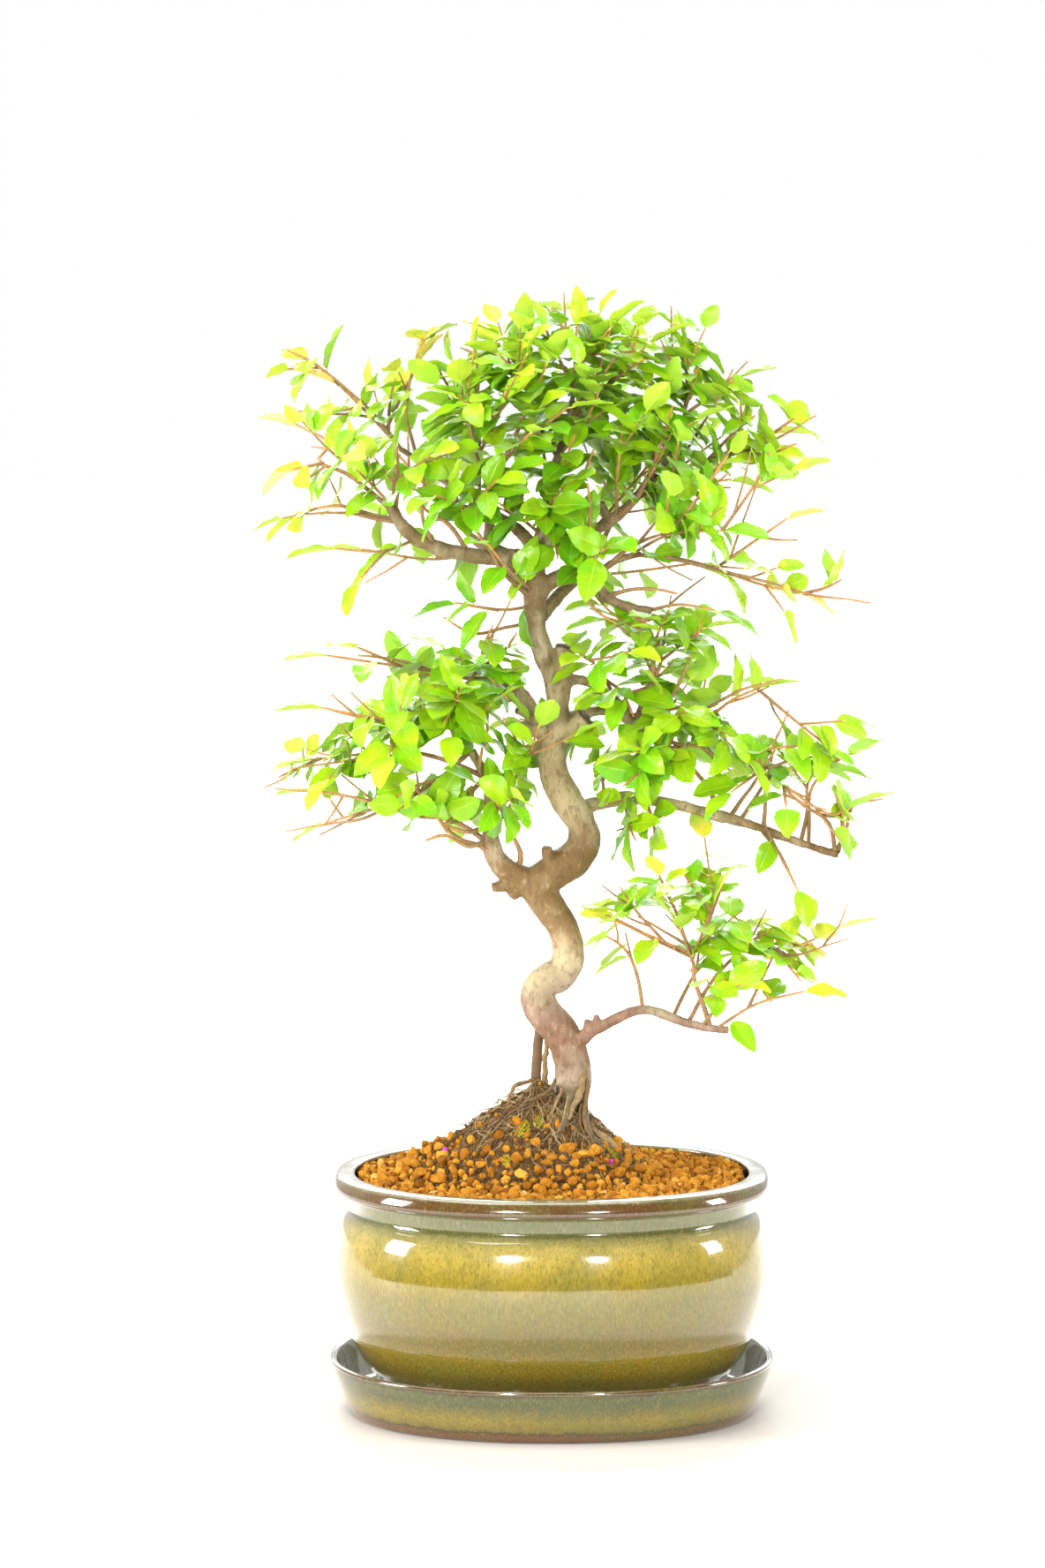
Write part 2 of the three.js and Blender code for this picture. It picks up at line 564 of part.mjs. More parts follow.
// The space inside the pot, with its clearances, up to the headroom over the bed.
function potCavity() {
  const wall = POT_PROFILE.slice(POT_INSIDE_START, -2).map(([halfLength, height]) => (
    [halfLength - BED_CLEARANCE, height]));
  const [corner] = POT_PROFILE.at(-2);
  const floor = POT_FLOOR + SEAT_GAP;
  const top = BED_TOP + BED_HEADROOM;
  wall.push([corner - BED_CLEARANCE - BED_CORNER_INSET, floor]);
  return ovalSolid([[0, floor], ...wall.reverse(), [wall.at(-1)[0], top], [0, top]]);
}

// A block whose top is a sheared, so triangular, field of points, a third of them raised as the middles of
// granules.
function granuleBlock() {
  const draw = drawsFrom(71);
  const rowHeight = GRAIN_SPACING * Math.sqrt(3) / 2;
  const rows = Math.ceil(BLOCK_WIDTH / rowHeight);
  const columns = Math.ceil(BLOCK_LENGTH / GRAIN_SPACING + rows / 2);
  const lumps = Array.from({ length: (rows + 1) * (columns + 1) }, () => [
    draw(-GRAIN_JITTER, GRAIN_JITTER), draw(-GRAIN_JITTER, GRAIN_JITTER), draw(...GRAIN_RISE),
  ]);
  const block = new THREE.BoxGeometry(1, 1, 1, columns, rows, 1);
  const position = block.attributes.position;
  for (let i = 0; i < position.count; i += 1) {
    const column = Math.round((position.getX(i) + 0.5) * columns);
    const row = Math.round((0.5 - position.getY(i)) * rows);
    const [shiftX, shiftY, rise] = lumps[row * (columns + 1) + column];
    const raised = (column + 2 * row) % 3 === 0;
    const top = raised ? BED_TOP + rise : BED_TOP - GRAIN_DIP_SHARE * rise;
    const x = (column + row / 2 - columns / 2 - rows / 4) * GRAIN_SPACING + shiftX;
    const y = (rows / 2 - row) * rowHeight + shiftY;
    position.setXYZ(i, x, y, position.getZ(i) > 0 ? top : 0);
  }
  return solidOf(block);
}

function bedSolid(grownRootBall) {
  let bed = potCavity().intersect(granuleBlock()).subtract(grownRootBall);
  const recess = MESH_SIZE + 2 * CUT_GAP;
  const height = 2 * (MESH_THICKNESS + CUT_GAP + SEAT_GAP);
  for (const x of [-DRAIN_HOLE_X, DRAIN_HOLE_X]) {
    bed = bed.subtract(boxAt(recess, recess, height, x, 0, POT_FLOOR));
  }
  return bed;
}

function rootBallSolid(grow) {
  const draw = drawsFrom(29);
  const points = ROOT_BALL_PROFILE.map(([reach, height]) => new THREE.Vector2(reach, height));
  const geometry = new THREE.LatheGeometry(points, ROOT_BALL_SIDES).rotateX(Math.PI / 2);
  geometry.deleteAttribute('normal').deleteAttribute('uv');
  const merged = mergeVertices(geometry, MERGE_DISTANCE);
  const position = merged.attributes.position;
  for (let i = 0; i < position.count; i += 1) {
    const [x, y, z] = [position.getX(i), position.getY(i), position.getZ(i)];
    const reachX = (x < 0 ? ROOT_BALL_REACH.left : ROOT_BALL_REACH.right) + grow;
    const reachY = (y < 0 ? ROOT_BALL_REACH.front : ROOT_BALL_REACH.back) + grow;
    const rough = () => draw(-ROOT_BALL_ROUGHNESS, ROOT_BALL_ROUGHNESS);
    const height = z + (z < BED_TOP ? -grow : grow) + rough();
    position.setXYZ(i, ROOT_BALL_CENTRE_X + x * reachX + rough(), y * reachY + rough(), height);
  }
  return solidOf(merged);
}

// The wood

// A cylinder bent along a smooth line through the points, with the radius that each point gives.
function branchSolid(points, sides, grow = 0) {
  const line = new THREE.CatmullRomCurve3(points.map(([x, y, z]) => new THREE.Vector3(x, y, z)));
  const steps = points.length - 1;
  const rings = [];
  let across = new THREE.Vector3(...RING_START);
  for (let i = 0; i <= steps; i += 1) {
    const along = line.getTangent(i / steps);
    across = across.clone().addScaledVector(along, -across.dot(along)).normalize();
    const over = new THREE.Vector3().crossVectors(across, along);
    const beyond = i === 0 ? -grow : (i === steps ? grow : 0);
    const centre = line.getPoint(i / steps).addScaledVector(along, beyond);
    rings.push({ centre, across, over, radius: points[i][3] + grow });
  }
  const geometry = new THREE.CylinderGeometry(1, 1, 1, sides, steps);
  const position = geometry.attributes.position;
  for (let i = 0; i < position.count; i += 1) {
    const ring = rings[Math.round((position.getY(i) + 0.5) * steps)];
    const place = ring.centre.clone()
      .addScaledVector(ring.across, position.getX(i) * ring.radius)
      .addScaledVector(ring.over, position.getZ(i) * ring.radius);
    position.setXYZ(i, place.x, place.y, place.z);
  }
  return solidOf(geometry);
}

function woodSolid(grow) {
  return joined([
    branchSolid(TRUNK_LINE, TRUNK_SIDES, grow),
    ...Object.values(BRANCHES).map(([sides, points]) => branchSolid(points, sides, grow)),
    ...STUBS.map((points) => branchSolid(points, STUB_SIDES, grow)),
    ...ROOTS.map((points) => branchSolid(points, ROOT_SIDES, grow)),
  ]);
}

// The leafy sprays

function shootSolid(points) {
  const last = points.length - 1;
  const [thick, thin] = SHOOT_RADIUS;
  const radii = points.map((point, i) => point[3] ?? thick + (thin - thick) * i / last);
  return branchSolid(points.map(([x, y, z], i) => [x, y, z, radii[i]]), SHOOT_SIDES);
}

// A pointed blade from its foot towards along, with its upper side towards up. Its edges rise a little and
// it bends down to its tip.
function leafSolid(foot, along, up, length) {
  const forward = along.clone().normalize();
  const side = new THREE.Vector3().crossVectors(up, forward).normalize();
  const normal = new THREE.Vector3().crossVectors(forward, side);
  const width = length * LEAF_WIDTH_SHARE;
  const vertices = [];
  for (const offset of [LEAF_THICKNESS / 2, -LEAF_THICKNESS / 2]) {
    for (const [share, across, rise] of LEAF_OUTLINE) {
      const height = rise * LEAF_EDGE_RISE * width - share ** 2 * LEAF_DROOP * length;
      const place = foot.clone()
        .addScaledVector(forward, share * length)
        .addScaledVector(side, across * width / 2)
        .addScaledVector(normal, height + offset);
      vertices.push(place.x, place.y, place.z);
    }
  }
  const count = LEAF_OUTLINE.length;
  const triangles = LEAF_FACES.flatMap(([a, b, c]) => [a, b, c, a + count, c + count, b + count]);
  for (let i = 0; i < count; i += 1) {
    const next = (i + 1) % count;
    triangles.push(i, i + count, next + count, i, next + count, next);
  }
  const geometry = new THREE.BufferGeometry();
  geometry.setAttribute('position', new THREE.Float32BufferAttribute(vertices, 3));
  geometry.setIndex(triangles);
  return solidOf(geometry);
}

// One leaf at a share of the way along a shoot. Its draws are its own, so a leaf that is drawn again
// changes no other. The rank is the side of the shoot, 1 or -1, or 0 for the leaf at its tip.
function leafOn(line, share, rank, heart, draw) {
  const foot = line.getPointAt(share);
  const along = line.getTangentAt(share);
  const outward = foot.clone().sub(heart).normalize();
  const up = new THREE.Vector3(draw(...LEAF_TILT), draw(...LEAF_TILT), draw(...LEAF_UPWARD))
    .addScaledVector(outward, LEAF_OUTWARD);
  const side = new THREE.Vector3().crossVectors(along, up).normalize();
  const reach = along.clone().multiplyScalar(rank === 0 ? 1 : draw(...LEAF_FORWARD))
    .addScaledVector(side, rank * draw(...LEAF_SIDEWAYS));
  reach.z -= draw(...LEAF_SAG);
  return leafSolid(foot, reach, up, draw(...LEAF_LENGTH));
}

function boxesNear(a, b, gap) {
  return [0, 1, 2].every((axis) => a.min[axis] - gap < b.max[axis] && b.min[axis] - gap < a.max[axis]);
}

function isClear(solid, others) {
  const box = solid.boundingBox();
  return others.every((other) => !boxesNear(box, other.box, SEAT_GAP)
    || solid.minGap(other.solid, 2 * SEAT_GAP) > SEAT_GAP);
}

function boxed(solid) {
  return { solid, box: solid.boundingBox() };
}

// The places of a shoot's leaves as shares of its length, the last at its tip.
function leafShares(line, bare) {
  const length = line.getLength();
  const count = Math.max(1, Math.floor((length - bare) / LEAF_SPACING));
  const shares = [];
  for (let k = 0; k < count; k += 1) shares.push((bare + (length - bare) * k / count) / length);
  return [...shares, LAST_LEAF_SHARE];
}

// Each spray before it has leaves: its stem is its joined twigs, cut clear of the wood.
function plannedSprays(grownWood) {
  const planned = [];
  for (const [group, { heart, sprays }] of Object.entries(SPRAYS)) {
    for (const [place, { bare = LEAF_BARE_START, shoots }] of Object.entries(sprays)) {
      const twigs = shoots.map(shootSolid);
      const curves = shoots.map((line) => (
        new THREE.CatmullRomCurve3(line.map(([x, y, z]) => new THREE.Vector3(x, y, z)))));
      const stem = largestPiece(joined(twigs).subtract(grownWood));
      const name = `${group}_${place}`;
      planned.push({ name, group, heart: new THREE.Vector3(...heart), bare, stem, twigs, curves });
    }
  }
  return planned;
}

// A number of its own for each leaf's draws.
function leafSeed(spray, shoot, leaf) {
  return 1000 * (spray + 1) + 100 * shoot + leaf;
}

// Puts the leaves on the sprays, each clear of the wood, of the other twigs and of the leaves before it.
function buildSprays(wood, grownWood) {
  const sprays = plannedSprays(grownWood);
  const stems = sprays.map(({ stem }) => boxed(stem));
  const woodParts = [boxed(wood)];
  const leaves = [];
  sprays.forEach((spray, i) => {
    const otherStems = stems.filter((_, j) => j !== i);
    const own = [];
    spray.curves.forEach((line, shoot) => {
      const otherTwigs = spray.twigs.filter((_, j) => j !== shoot).map(boxed);
      const blockers = [...woodParts, ...otherStems, ...otherTwigs];
      const shares = leafShares(line, shoot === 0 ? spray.bare : LEAF_BARE_START);
      shares.forEach((share, k) => {
        const rank = k === shares.length - 1 ? 0 : (k % 2 === 0 ? 1 : -1);
        const draw = drawsFrom(leafSeed(i, shoot, k));
        for (let attempt = 0; attempt < LEAF_TRIES; attempt += 1) {
          const leaf = leafOn(line, share, rank, spray.heart, draw);
          if (isClear(leaf, blockers) && isClear(leaf, leaves)) {
            leaves.push(boxed(leaf));
            own.push(leaf);
            break;
          }
        }
      });
    });
    spray.solid = largestPiece(joined([spray.stem, ...own]));
  });
  return sprays;
}

// The assembly

function meshOf(name, geometry, look) {
  const mesh = new THREE.Mesh(geometry, new THREE.MeshStandardMaterial(look));
  mesh.name = name;
  return mesh;
}

const wood = woodSolid(0);
const grownWood = woodSolid(CUT_GAP);
const rootBall = largestPiece(rootBallSolid(0).subtract(grownWood));
const bed = largestPiece(bedSolid(rootBallSolid(CUT_GAP)).subtract(grownWood));

const bonsai = new THREE.Group();
bonsai.add(meshOf('drip_tray', geometryOf(ovalSolid(TRAY_PROFILE)), GLAZE));
bonsai.add(meshOf('pot', geometryOf(potSolid()), GLAZE));
for (const [name, x] of [['drain_mesh_left', -DRAIN_HOLE_X], ['drain_mesh_right', DRAIN_HOLE_X]]) {
  const drainMesh = meshOf(name, geometryOf(drainMeshSolid()), PLASTIC_MESH);
  drainMesh.position.set(x, 0, POT_FLOOR + SEAT_GAP);
  bonsai.add(drainMesh);
}
bonsai.add(meshOf('granule_bed', geometryOf(bed), GRANULES));
bonsai.add(meshOf('root_ball', geometryOf(rootBall), OLD_SOIL));
bonsai.add(meshOf('trunk', geometryOf(wood), BARK));
for (const { name, group, solid } of buildSprays(wood, grownWood)) {
  bonsai.add(meshOf(name, geometryOf(solid), group === 'low_right' ? YOUNG_LEAF : LEAF));
}

export default bonsai;
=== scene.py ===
import math
from collections import namedtuple

import bmesh
import bpy
import numpy as np
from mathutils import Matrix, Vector, noise


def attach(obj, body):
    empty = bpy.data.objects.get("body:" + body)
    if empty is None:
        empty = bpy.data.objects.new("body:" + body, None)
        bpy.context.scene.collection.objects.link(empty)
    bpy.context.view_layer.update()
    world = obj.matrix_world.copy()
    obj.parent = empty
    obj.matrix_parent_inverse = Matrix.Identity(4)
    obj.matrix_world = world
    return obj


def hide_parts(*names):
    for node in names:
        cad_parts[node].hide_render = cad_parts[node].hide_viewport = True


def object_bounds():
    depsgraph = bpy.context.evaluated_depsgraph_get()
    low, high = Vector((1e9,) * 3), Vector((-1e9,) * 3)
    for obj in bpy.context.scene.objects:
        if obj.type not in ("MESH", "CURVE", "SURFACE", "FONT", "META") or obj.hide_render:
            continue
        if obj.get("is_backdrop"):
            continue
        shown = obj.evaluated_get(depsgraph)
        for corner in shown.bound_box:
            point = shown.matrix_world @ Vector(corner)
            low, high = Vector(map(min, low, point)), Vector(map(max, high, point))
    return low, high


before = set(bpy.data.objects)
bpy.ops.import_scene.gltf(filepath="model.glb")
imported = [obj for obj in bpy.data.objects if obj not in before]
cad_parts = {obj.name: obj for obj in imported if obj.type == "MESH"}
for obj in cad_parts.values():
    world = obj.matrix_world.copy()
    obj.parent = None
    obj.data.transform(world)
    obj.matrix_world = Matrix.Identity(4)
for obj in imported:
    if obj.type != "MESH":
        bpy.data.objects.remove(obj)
CAD_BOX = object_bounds()

MM = 0.001

# The pot and the tray are superellipses seen from above.
PLAN_EXPONENT = 2.25  # 2 is an ellipse, more is squarer
PLAN_DIFFERENCE = 18  # half length less half width
CORE_HALF_LENGTH = 45  # inside this, width shrinks in proportion to length
PLAN_STEPS = 176

# Profiles are [half length, height, rounding], from the axis round the wall and back to the axis.
TRAY_FLOOR = 5
TRAY_PROFILE = [
    [0, 0.1, 0], [75.2, 0, 0.8], [76.6, 1.4, 1], [78.8, 6, 6], [81.9, 14, 6], [83.7, 20, 0.8],
    [83.2, 21, 0.8], [81.2, 21, 1.4], [78.6, 12, 5], [74.5, TRAY_FLOOR, 4], [0, TRAY_FLOOR, 0],
]
FOOT_FACE = 5.3
POT_PROFILE = [
    [0, 9.2, 0], [52, 9.2, 1], [53, FOOT_FACE, 0.7], [59.5, FOOT_FACE, 0.9], [61.5, 9, 6], [70, 18, 9],
    [76, 29, 9], [80.5, 42, 9], [82.8, 56, 9], [79.6, 73, 5], [75.6, 77.4, 1.6], [76.5, 83.8, 2],
    [80.8, 84.2, 1.2], [82.9, 86, 2.2], [81.2, 90.6, 2.2], [79, 91, 1], [74, 91, 1.1], [73.2, 78, 9],
    [77.4, 57, 9], [71, 30, 9], [58, 13, 4], [0, 13, 0],
]
ROUNDING_STEPS = 6
SHORTEST_STEP = 0.05  # along a profile
FOOT_GAP_HALF_WIDTH = 17
FOOT_GAP_SLOPE = 3
FOOT_GAP_HEIGHT = 2.9
DRAIN_HOLE_RADIUS = 6
DRAIN_HOLE_X = 30
DRAIN_HOLE_MIDDLE = 12
DRAIN_HOLE_DEPTH = 20
GLAZE_WAVE = 0.12
GLAZE_WAVE_SIZE = 19

# The granules' bed and the mound of old soil.
BED_BASE_TOP = 88.3
BED_TOP = 91
BED_PROFILE = [
    [0, 14.7, 0], [58, 14.7, 2], [70.4, 30, 5], [76.8, 57, 6], [72.6, 78, 4], [72.8, BED_BASE_TOP, 0.5],
    [0, BED_BASE_TOP, 0],
]
BED_HALF_LENGTH = 73
GRAIN_RADIUS = [1.3, 2.6]
GRAIN_SPREAD = 0.84  # least distance of two granules, as a share of the sum of their radii
GRAIN_COUNT = 1450
GRAIN_TRIES = 60000
GRAIN_CUTS = 7  # flat faces knocked off each granule
GRAIN_CUT_DEPTH = [0.45, 0.85]
GRAIN_STRETCH = [0.8, 1.25]
CRUMB_RADIUS = [0.45, 1.3]
CRUMB_COUNT = 2600
CRUMB_TRIES = 90000
LONE_GRAIN_RADIUS = [1.3, 2.3]
LONE_GRAINS = [  # x, y on the mound
    [-13, -13], [-9, -17], [-2, -15], [2, -14], [5, -22], [-6, -21], [-20, -16], [-24, -20], [-30, -14],
    [-17, -22], [9, -23], [14, -20], [-35, -10], [18, -16], [-12, -26], [0, -26], [-27, -6], [-38, -3],
]
BEADS = [[22, -19], [-40, -12]]
BEAD_RADIUS = 1.15
MOUND_CENTRE_X = -4
MOUND_REACH = {"left": 47, "right": 36, "front": 30, "back": 33}
MOUND_EDGE = 1.2  # share of the reach at which the mesh ends
MOUND_BOTTOM = 60
MOUND_RINGS = 52
MOUND_STEPS = 150
MOUND_PROFILE = [  # share of the reach, height
    [0, 124], [0.085, 122], [0.234, 118], [0.34, 115], [0.55, 108], [0.87, 99], [1.05, 93.5], [1.2, 90],
    [1.4, 86],
]
FINE_ROOTS = 620
FINE_ROOT_RADIUS = [0.11, 0.34]
FINE_ROOT_STEP = 1.5
MOSS_PATCHES = [[-11, -15, 3], [-5, -13, 1.8], [23, -12, 2.4], [-17, -25, 1.6]]  # x, y, radius
MOSS_TUFTS = 420  # in a patch with the full radius, and fewer in a smaller one
MOSS_FULL_RADIUS = 9
MOSS_BLADES = 3
MOSS_RADII = [0.22, 0.2, 0.05]

# The wood and its bark.
ROOT_SHARES = [0.5, 0.5, 0.3, 0.4, 0.6, 0.9]  # how thick each root is beside its solid
FOOT_RADII = [6, 5.4, 5.2, 6.8]  # of the trunk where it is under the soil
SKIN_SIZE = 0.62
TWIG_SLIMNESS = 0.82
TWIG_SIDES = 8
TWIG_BEND = 0.5
SAWN_STUBS = 4  # of the stubs, those whose cut ends are dark
SAWN_TONE = 0.85

# How the solids' leaves stand on their shoots, repeated from the part's source.
# A pair is a range to draw from.
LEAF_WIDTH_SHARE = 0.5  # of the length
LEAF_THICKNESS = 0.72
LEAF_EDGE_RISE = 0.17  # as a share of the width
LEAF_DROOP = 0.1  # fall of the tip, as a share of the length
LEAF_LENGTH = [15, 20]
LEAF_TILT = [-0.35, 0.35]
LEAF_UPWARD = [0.45, 0.95]
LEAF_OUTWARD = 0.8
LEAF_FORWARD = [0.25, 0.6]
LEAF_SIDEWAYS = [0.6, 0.95]
LEAF_SAG = [0.05, 0.45]
LEAF_SPACING = 14
LEAF_BARE_START = 7
LEAF_TRIES = 8
LAST_LEAF_SHARE = 0.97
SHOOT_RADIUS = [0.95, 0.6]  # at its foot and its tip

# The leaves and side twigs that are only here.
SHOOT_SLIMNESS = 0.72
SHOOT_TIP_RADIUS = 0.25
SHOOT_SIDES = 7
SIDE_TWIG_SPACING = 11
SIDE_TWIG_LENGTH = [13, 27]
SIDE_TWIG_RADIUS = [0.55, 0.3]
SIDE_TWIG_BARE = 4
SIDE_TWIG_ROOM = 2.2
SIDE_TWIG_SIDES = 5
SIDE_TWIG_STEPS = 6
SIDE_LEAF_SPACING = 6.2
SIDE_LEAF_LENGTH = [10.5, 18]
EXTRA_LEAF_LENGTH = [13, 20]
EXTRA_OUTWARD = 1.2
EXTRA_WIDTH = [0.5, 0.66]
EXTRA_RISE = [0.06, 0.22]
EXTRA_DROOP = [0.02, 0.2]
LEAF_CHOICES = 7  # draws to choose the clearest leaf from
TWIG_CHOICES = 5
LEAF_ROOM = 1.0  # least distance to what is already there
LEAF_REACH = 0.8  # taken round each spot of a leaf
FAR_APART = 26
BLADE_ROWS = 14
BLADE_COLUMNS = [-1, -0.52, 0, 0.52, 1]
BLADE_START = 0.09  # the petiole's share of the length
PETIOLE_RADII = [0.28, 0.28, 0.12]
BOX_EASE = 1.5  # how far foliage may reach past the solids' box
USUAL_YOUTH = 0.12  # of a spray's tips, from 0 to 1
HEARTS = {
    "crown": [0, 5, 325], "left_pad": [-42, 0, 238], "right_pad": [38, 0, 252], "right_limb": [80, 0, 218],
    "low_right": [62, 0, 150],
}

# The studio, in metres.
TABLE_RADIUS = 0.8
TABLE_BACK = [(4, 0, 0), (4, 8, 0), (-4, 8, 0), (-4, 0, 0)]
FLOOR_GLOW = [0.100, 0.106, 1.05]  # from, to, strength
SOFT_LIGHT = 0.5  # of the dim side, on matt surfaces
WHITE = (1, 1, 1)
LIGHT_TARGET = (0, 0, 0.2)
LAMPS = [  # name, place, size, watts, colour
    ("overhead", (-0.2, -0.1, 1.6), (1.2, 1.2), 27, (1.0, 0.985, 0.95)),
    ("left", (-1.5, -0.45, 0.62), (0.5, 0.7), 32, WHITE),
    ("right", (1.5, -0.3, 0.55), (0.35, 0.55), 13, WHITE),
    ("front_left", (-0.34, -1.55, 0.52), (0.10, 0.2), 16, WHITE),
    ("front_right", (0.36, -1.5, 0.5), (0.08, 0.17), 11, WHITE),
    ("back", (0.1, 1.5, 0.9), (1.8, 1.0), 26, WHITE),
]
CAMERA_PLACE = (-0.011, -1.77, 0.428)
CAMERA_FALL = 6.16  # degrees below level
CAMERA_LENS = 109.6
CAMERA_SENSOR = 36


# How tables are read. They are text, with points parted by commas and one path on a line.

def path_of(text):
    """Points of x, y, z and, where it has one, a radius. Colour stops are read the same way."""
    return [[float(number) for number in point.split()] for point in text.split(",")]


def lines_of(text):
    """The lines of a table. One that ends with a comma goes on below."""
    return text.strip().replace(",\n", ", ").split("\n")


def paths_of(text):
    return [path_of(line) for line in lines_of(text)]


def named_paths(text):
    """Each path by the name on the line above it."""
    lines = lines_of(text)
    return {name: path_of(path) for name, path in zip(lines[::2], lines[1::2])}


def sprays_of(text):
    """
    A spray has its name and, where they aren't the usual ones, the length of its first shoot that is
    bare, how young its tips are and how full it is beyond its solid. Its shoots follow, and a plus sign
    marks those that only the scene has.
    """
    sprays = []
    for line in lines_of(text):
        if line[0].isalpha():
            name, *words = line.split()
            spray = {"name": name, "bare": LEAF_BARE_START, "young": USUAL_YOUTH, "full": 1}
            spray.update(zip(words[::2], map(float, words[1::2])), own=0, shoots=[])
            sprays.append(spray)
        else:
            spray["own"] += line[0] != "+"
            spray["shoots"].append(path_of(line.lstrip("+ ")))
    return sprays


# The trunk, its limbs, the cut stubs, the roots that the solid has and the ones that only the scene has.
TRUNK_LINE = path_of("""
9.5 0 94 12, 8.6 0 104 10.3, 8 0 113 8.5, 8 0 124 7.3, 7.2 0 134 6.9, 3 -1 144 6.6, -3 -1 151 6.4,
-5.3 0 157 6.5, -3 1 162 6.3, 3.5 2 165.5 6.2, 6.2 2 172 6.1, 4.8 2 181 5.8, -1 0 191 6.3, -5 0 198.5 6.8,
1.5 0 204.5 6.8, 8.5 1 209 6.7, 12 2 215 6.1, 11 2 222 5.8, 6 2 230 5.7, 1 1 240 5.8, -0.3 0 250 5.8,
1 0 258 5.2, 2 1 266 4.2, 1 1 275 3.9, -3 0 285 3.8, -6 -1 297 3.7, -6.3 -1 310 4.4, -6.5 -1 319 4.4,
-5 0 326 3.4
""")

BRANCHES = named_paths("""
lower_left_limb
-4 0 198 5.5, -11 -1 201.5 5, -17 -2 205 4.5, -21 -3 210 3.8, -22.8 -4 216 3.4, -23 -4 222 3.1,
-22.5 -3 229 2.8, -23.5 -3 236 2.4, -26 -4 242.5 2.1, -30 -5 250 1.6
left_upper_limb
0 3 254 4, -6 8 261 3.2, -12 11 270 2.6, -21 12 274 2.2, -31 10 276.5 1.8, -44 8 278.5 1.3
low_right_limb
5 -2 138 4, 11 -4 141.5 3, 16 -5 145.5 2.5, 21 -6 147.8 2.2, 29 -7 151.8 1.9, 36 -7 153 1.8, 45 -8 150 1.7,
55 -9 147 1.6, 66 -9 145.5 1.5
right_middle_limb
8 4 225 3.4, 14 7 228 2.8, 20 7 229.5 2.4, 28 6 231 2.9, 35 5 230.5 2.2, 45 4 229 2.1, 58 3 226 2.1,
63 3 224.5 2.4, 74 2 221.5 1.7, 85 1 217.5 1.6, 97 0 213.5 1.5, 107 0 210.5 1.8
right_upper_limb
1 2 258 3, 8 6 262 2.2, 16 7 263.5 1.9, 24 5 263.2 1.9, 33 0 258.5 2.4
right_upper_fork
2 1 270 2.8, 7 2 275.5 2.1, 13 3 275 1.8, 20 3 270.5 1.7, 29 1 264 1.6
crown_right_low
-6 -1 307 3.6, -1 -3 312.5 3.1, 4 -5 314.5 3, 10 -7 315 2.8, 15 -8 313 2.4, 20 -9 307.5 2, 27 -10 304 1.8,
37 -11 302.5 1.6
crown_right_shoulder
13 -8 313.5 1.9, 19 -9 318 1.5, 25 -10 321.5 1.3, 33 -11 323.5 1.1
crown_right_high
-6 0 321 3.4, -1 1 327 2.8, 5 2 329 2.6, 11 3 330.5 2.5, 18 5 332.5 2.3, 24 6 336.5 2.1, 31 8 343 1.8,
38 9 350.5 1.6, 46 10 362 1.2
crown_pale_stub
21 5 334 1.9, 18 3 342 1.7
crown_upright
-6 -1 318 3.6, -12 -3 321.5 3.4, -18 -4 322.5 3, -23 -5 327 2.2, -23 -6 336 1.9, -21.5 -7 346 1.7,
-19 -7 356 1.4
crown_left_high
-5 2 322 3, -11 5 330 2.4, -18 7 335 2, -28 9 341 1.7, -38 10 348 1.5, -47 11 355 1.3, -57 12 361.5 1
crown_left_low
-16 -4 321.5 3, -24 -8 322 2.9, -33 -10 323.5 2.8, -42 -11 325.5 2.7, -50 -11 329 2.6, -55.5 -10 334 2.4,
-60 -10 342 1.9
crown_leader
-5 0 323 3.3, -3 2 334 2.5, -1 4 346 2.1, 2 5 358 1.7, 6 6 370 1.4, 8 6 384 1
crown_back_right
-5 2 299 3, 2 12 306 2.4, 10 24 313 2, 17 36 321 1.6, 22 47 330 1.1
crown_back_left
-6 2 306 3, -14 14 314 2.3, -24 26 322 1.9, -34 38 331 1.5, -42 48 341 1.1
""")

STUBS = paths_of("""
2 1 268 4.2, 3.5 0 278 4.1, 5.2 -1 289 3.9
4 0 255 4.4, 12.5 -1.5 262.5 3.8
-3 -1 257 3.2, -15.5 -4 259 2.2
-3 0 261 2.6, -13.5 -2 265 1.6
-12 -2 200 3, -22.5 -4 198.5 1.8
-10 0 200 3.4, -15.5 -3 194.8 2.2
0 -2 203 3.4, -2 -4 214 1.9
12.5 -4.5 141.5 1.6, 13.2 -5 149 1.1
16 -5 145 1.5, 16.8 -5.5 151 1.1
33 0 258 1.6, 32.3 -1 246.5 1.1
33.5 0 258 1.5, 41 -1 250 1
""")

ROOTS = paths_of("""
10.5 -2 128 2.6, 12.4 -6 117 2.4, 13.5 -10 109 2.3, 19 -13 101 1.6
8 -4 122 2.6, 6 -11 114 2.3, 2 -18 106 1.6
3 -3 125 2.4, -5 -7 119.5 2.2, -14 -10 115.5 2, -24 -12 109 1.4
10 2 122 2.6, 13 6 111 2.2, 19 9 100 1.5
6 4 122 2.8, 3 12 114 2.3, -1 20 105 1.5
-4.5 5 146 2, -5.5 6.5 133 2.2, -6 6.5 119 2.4
""")

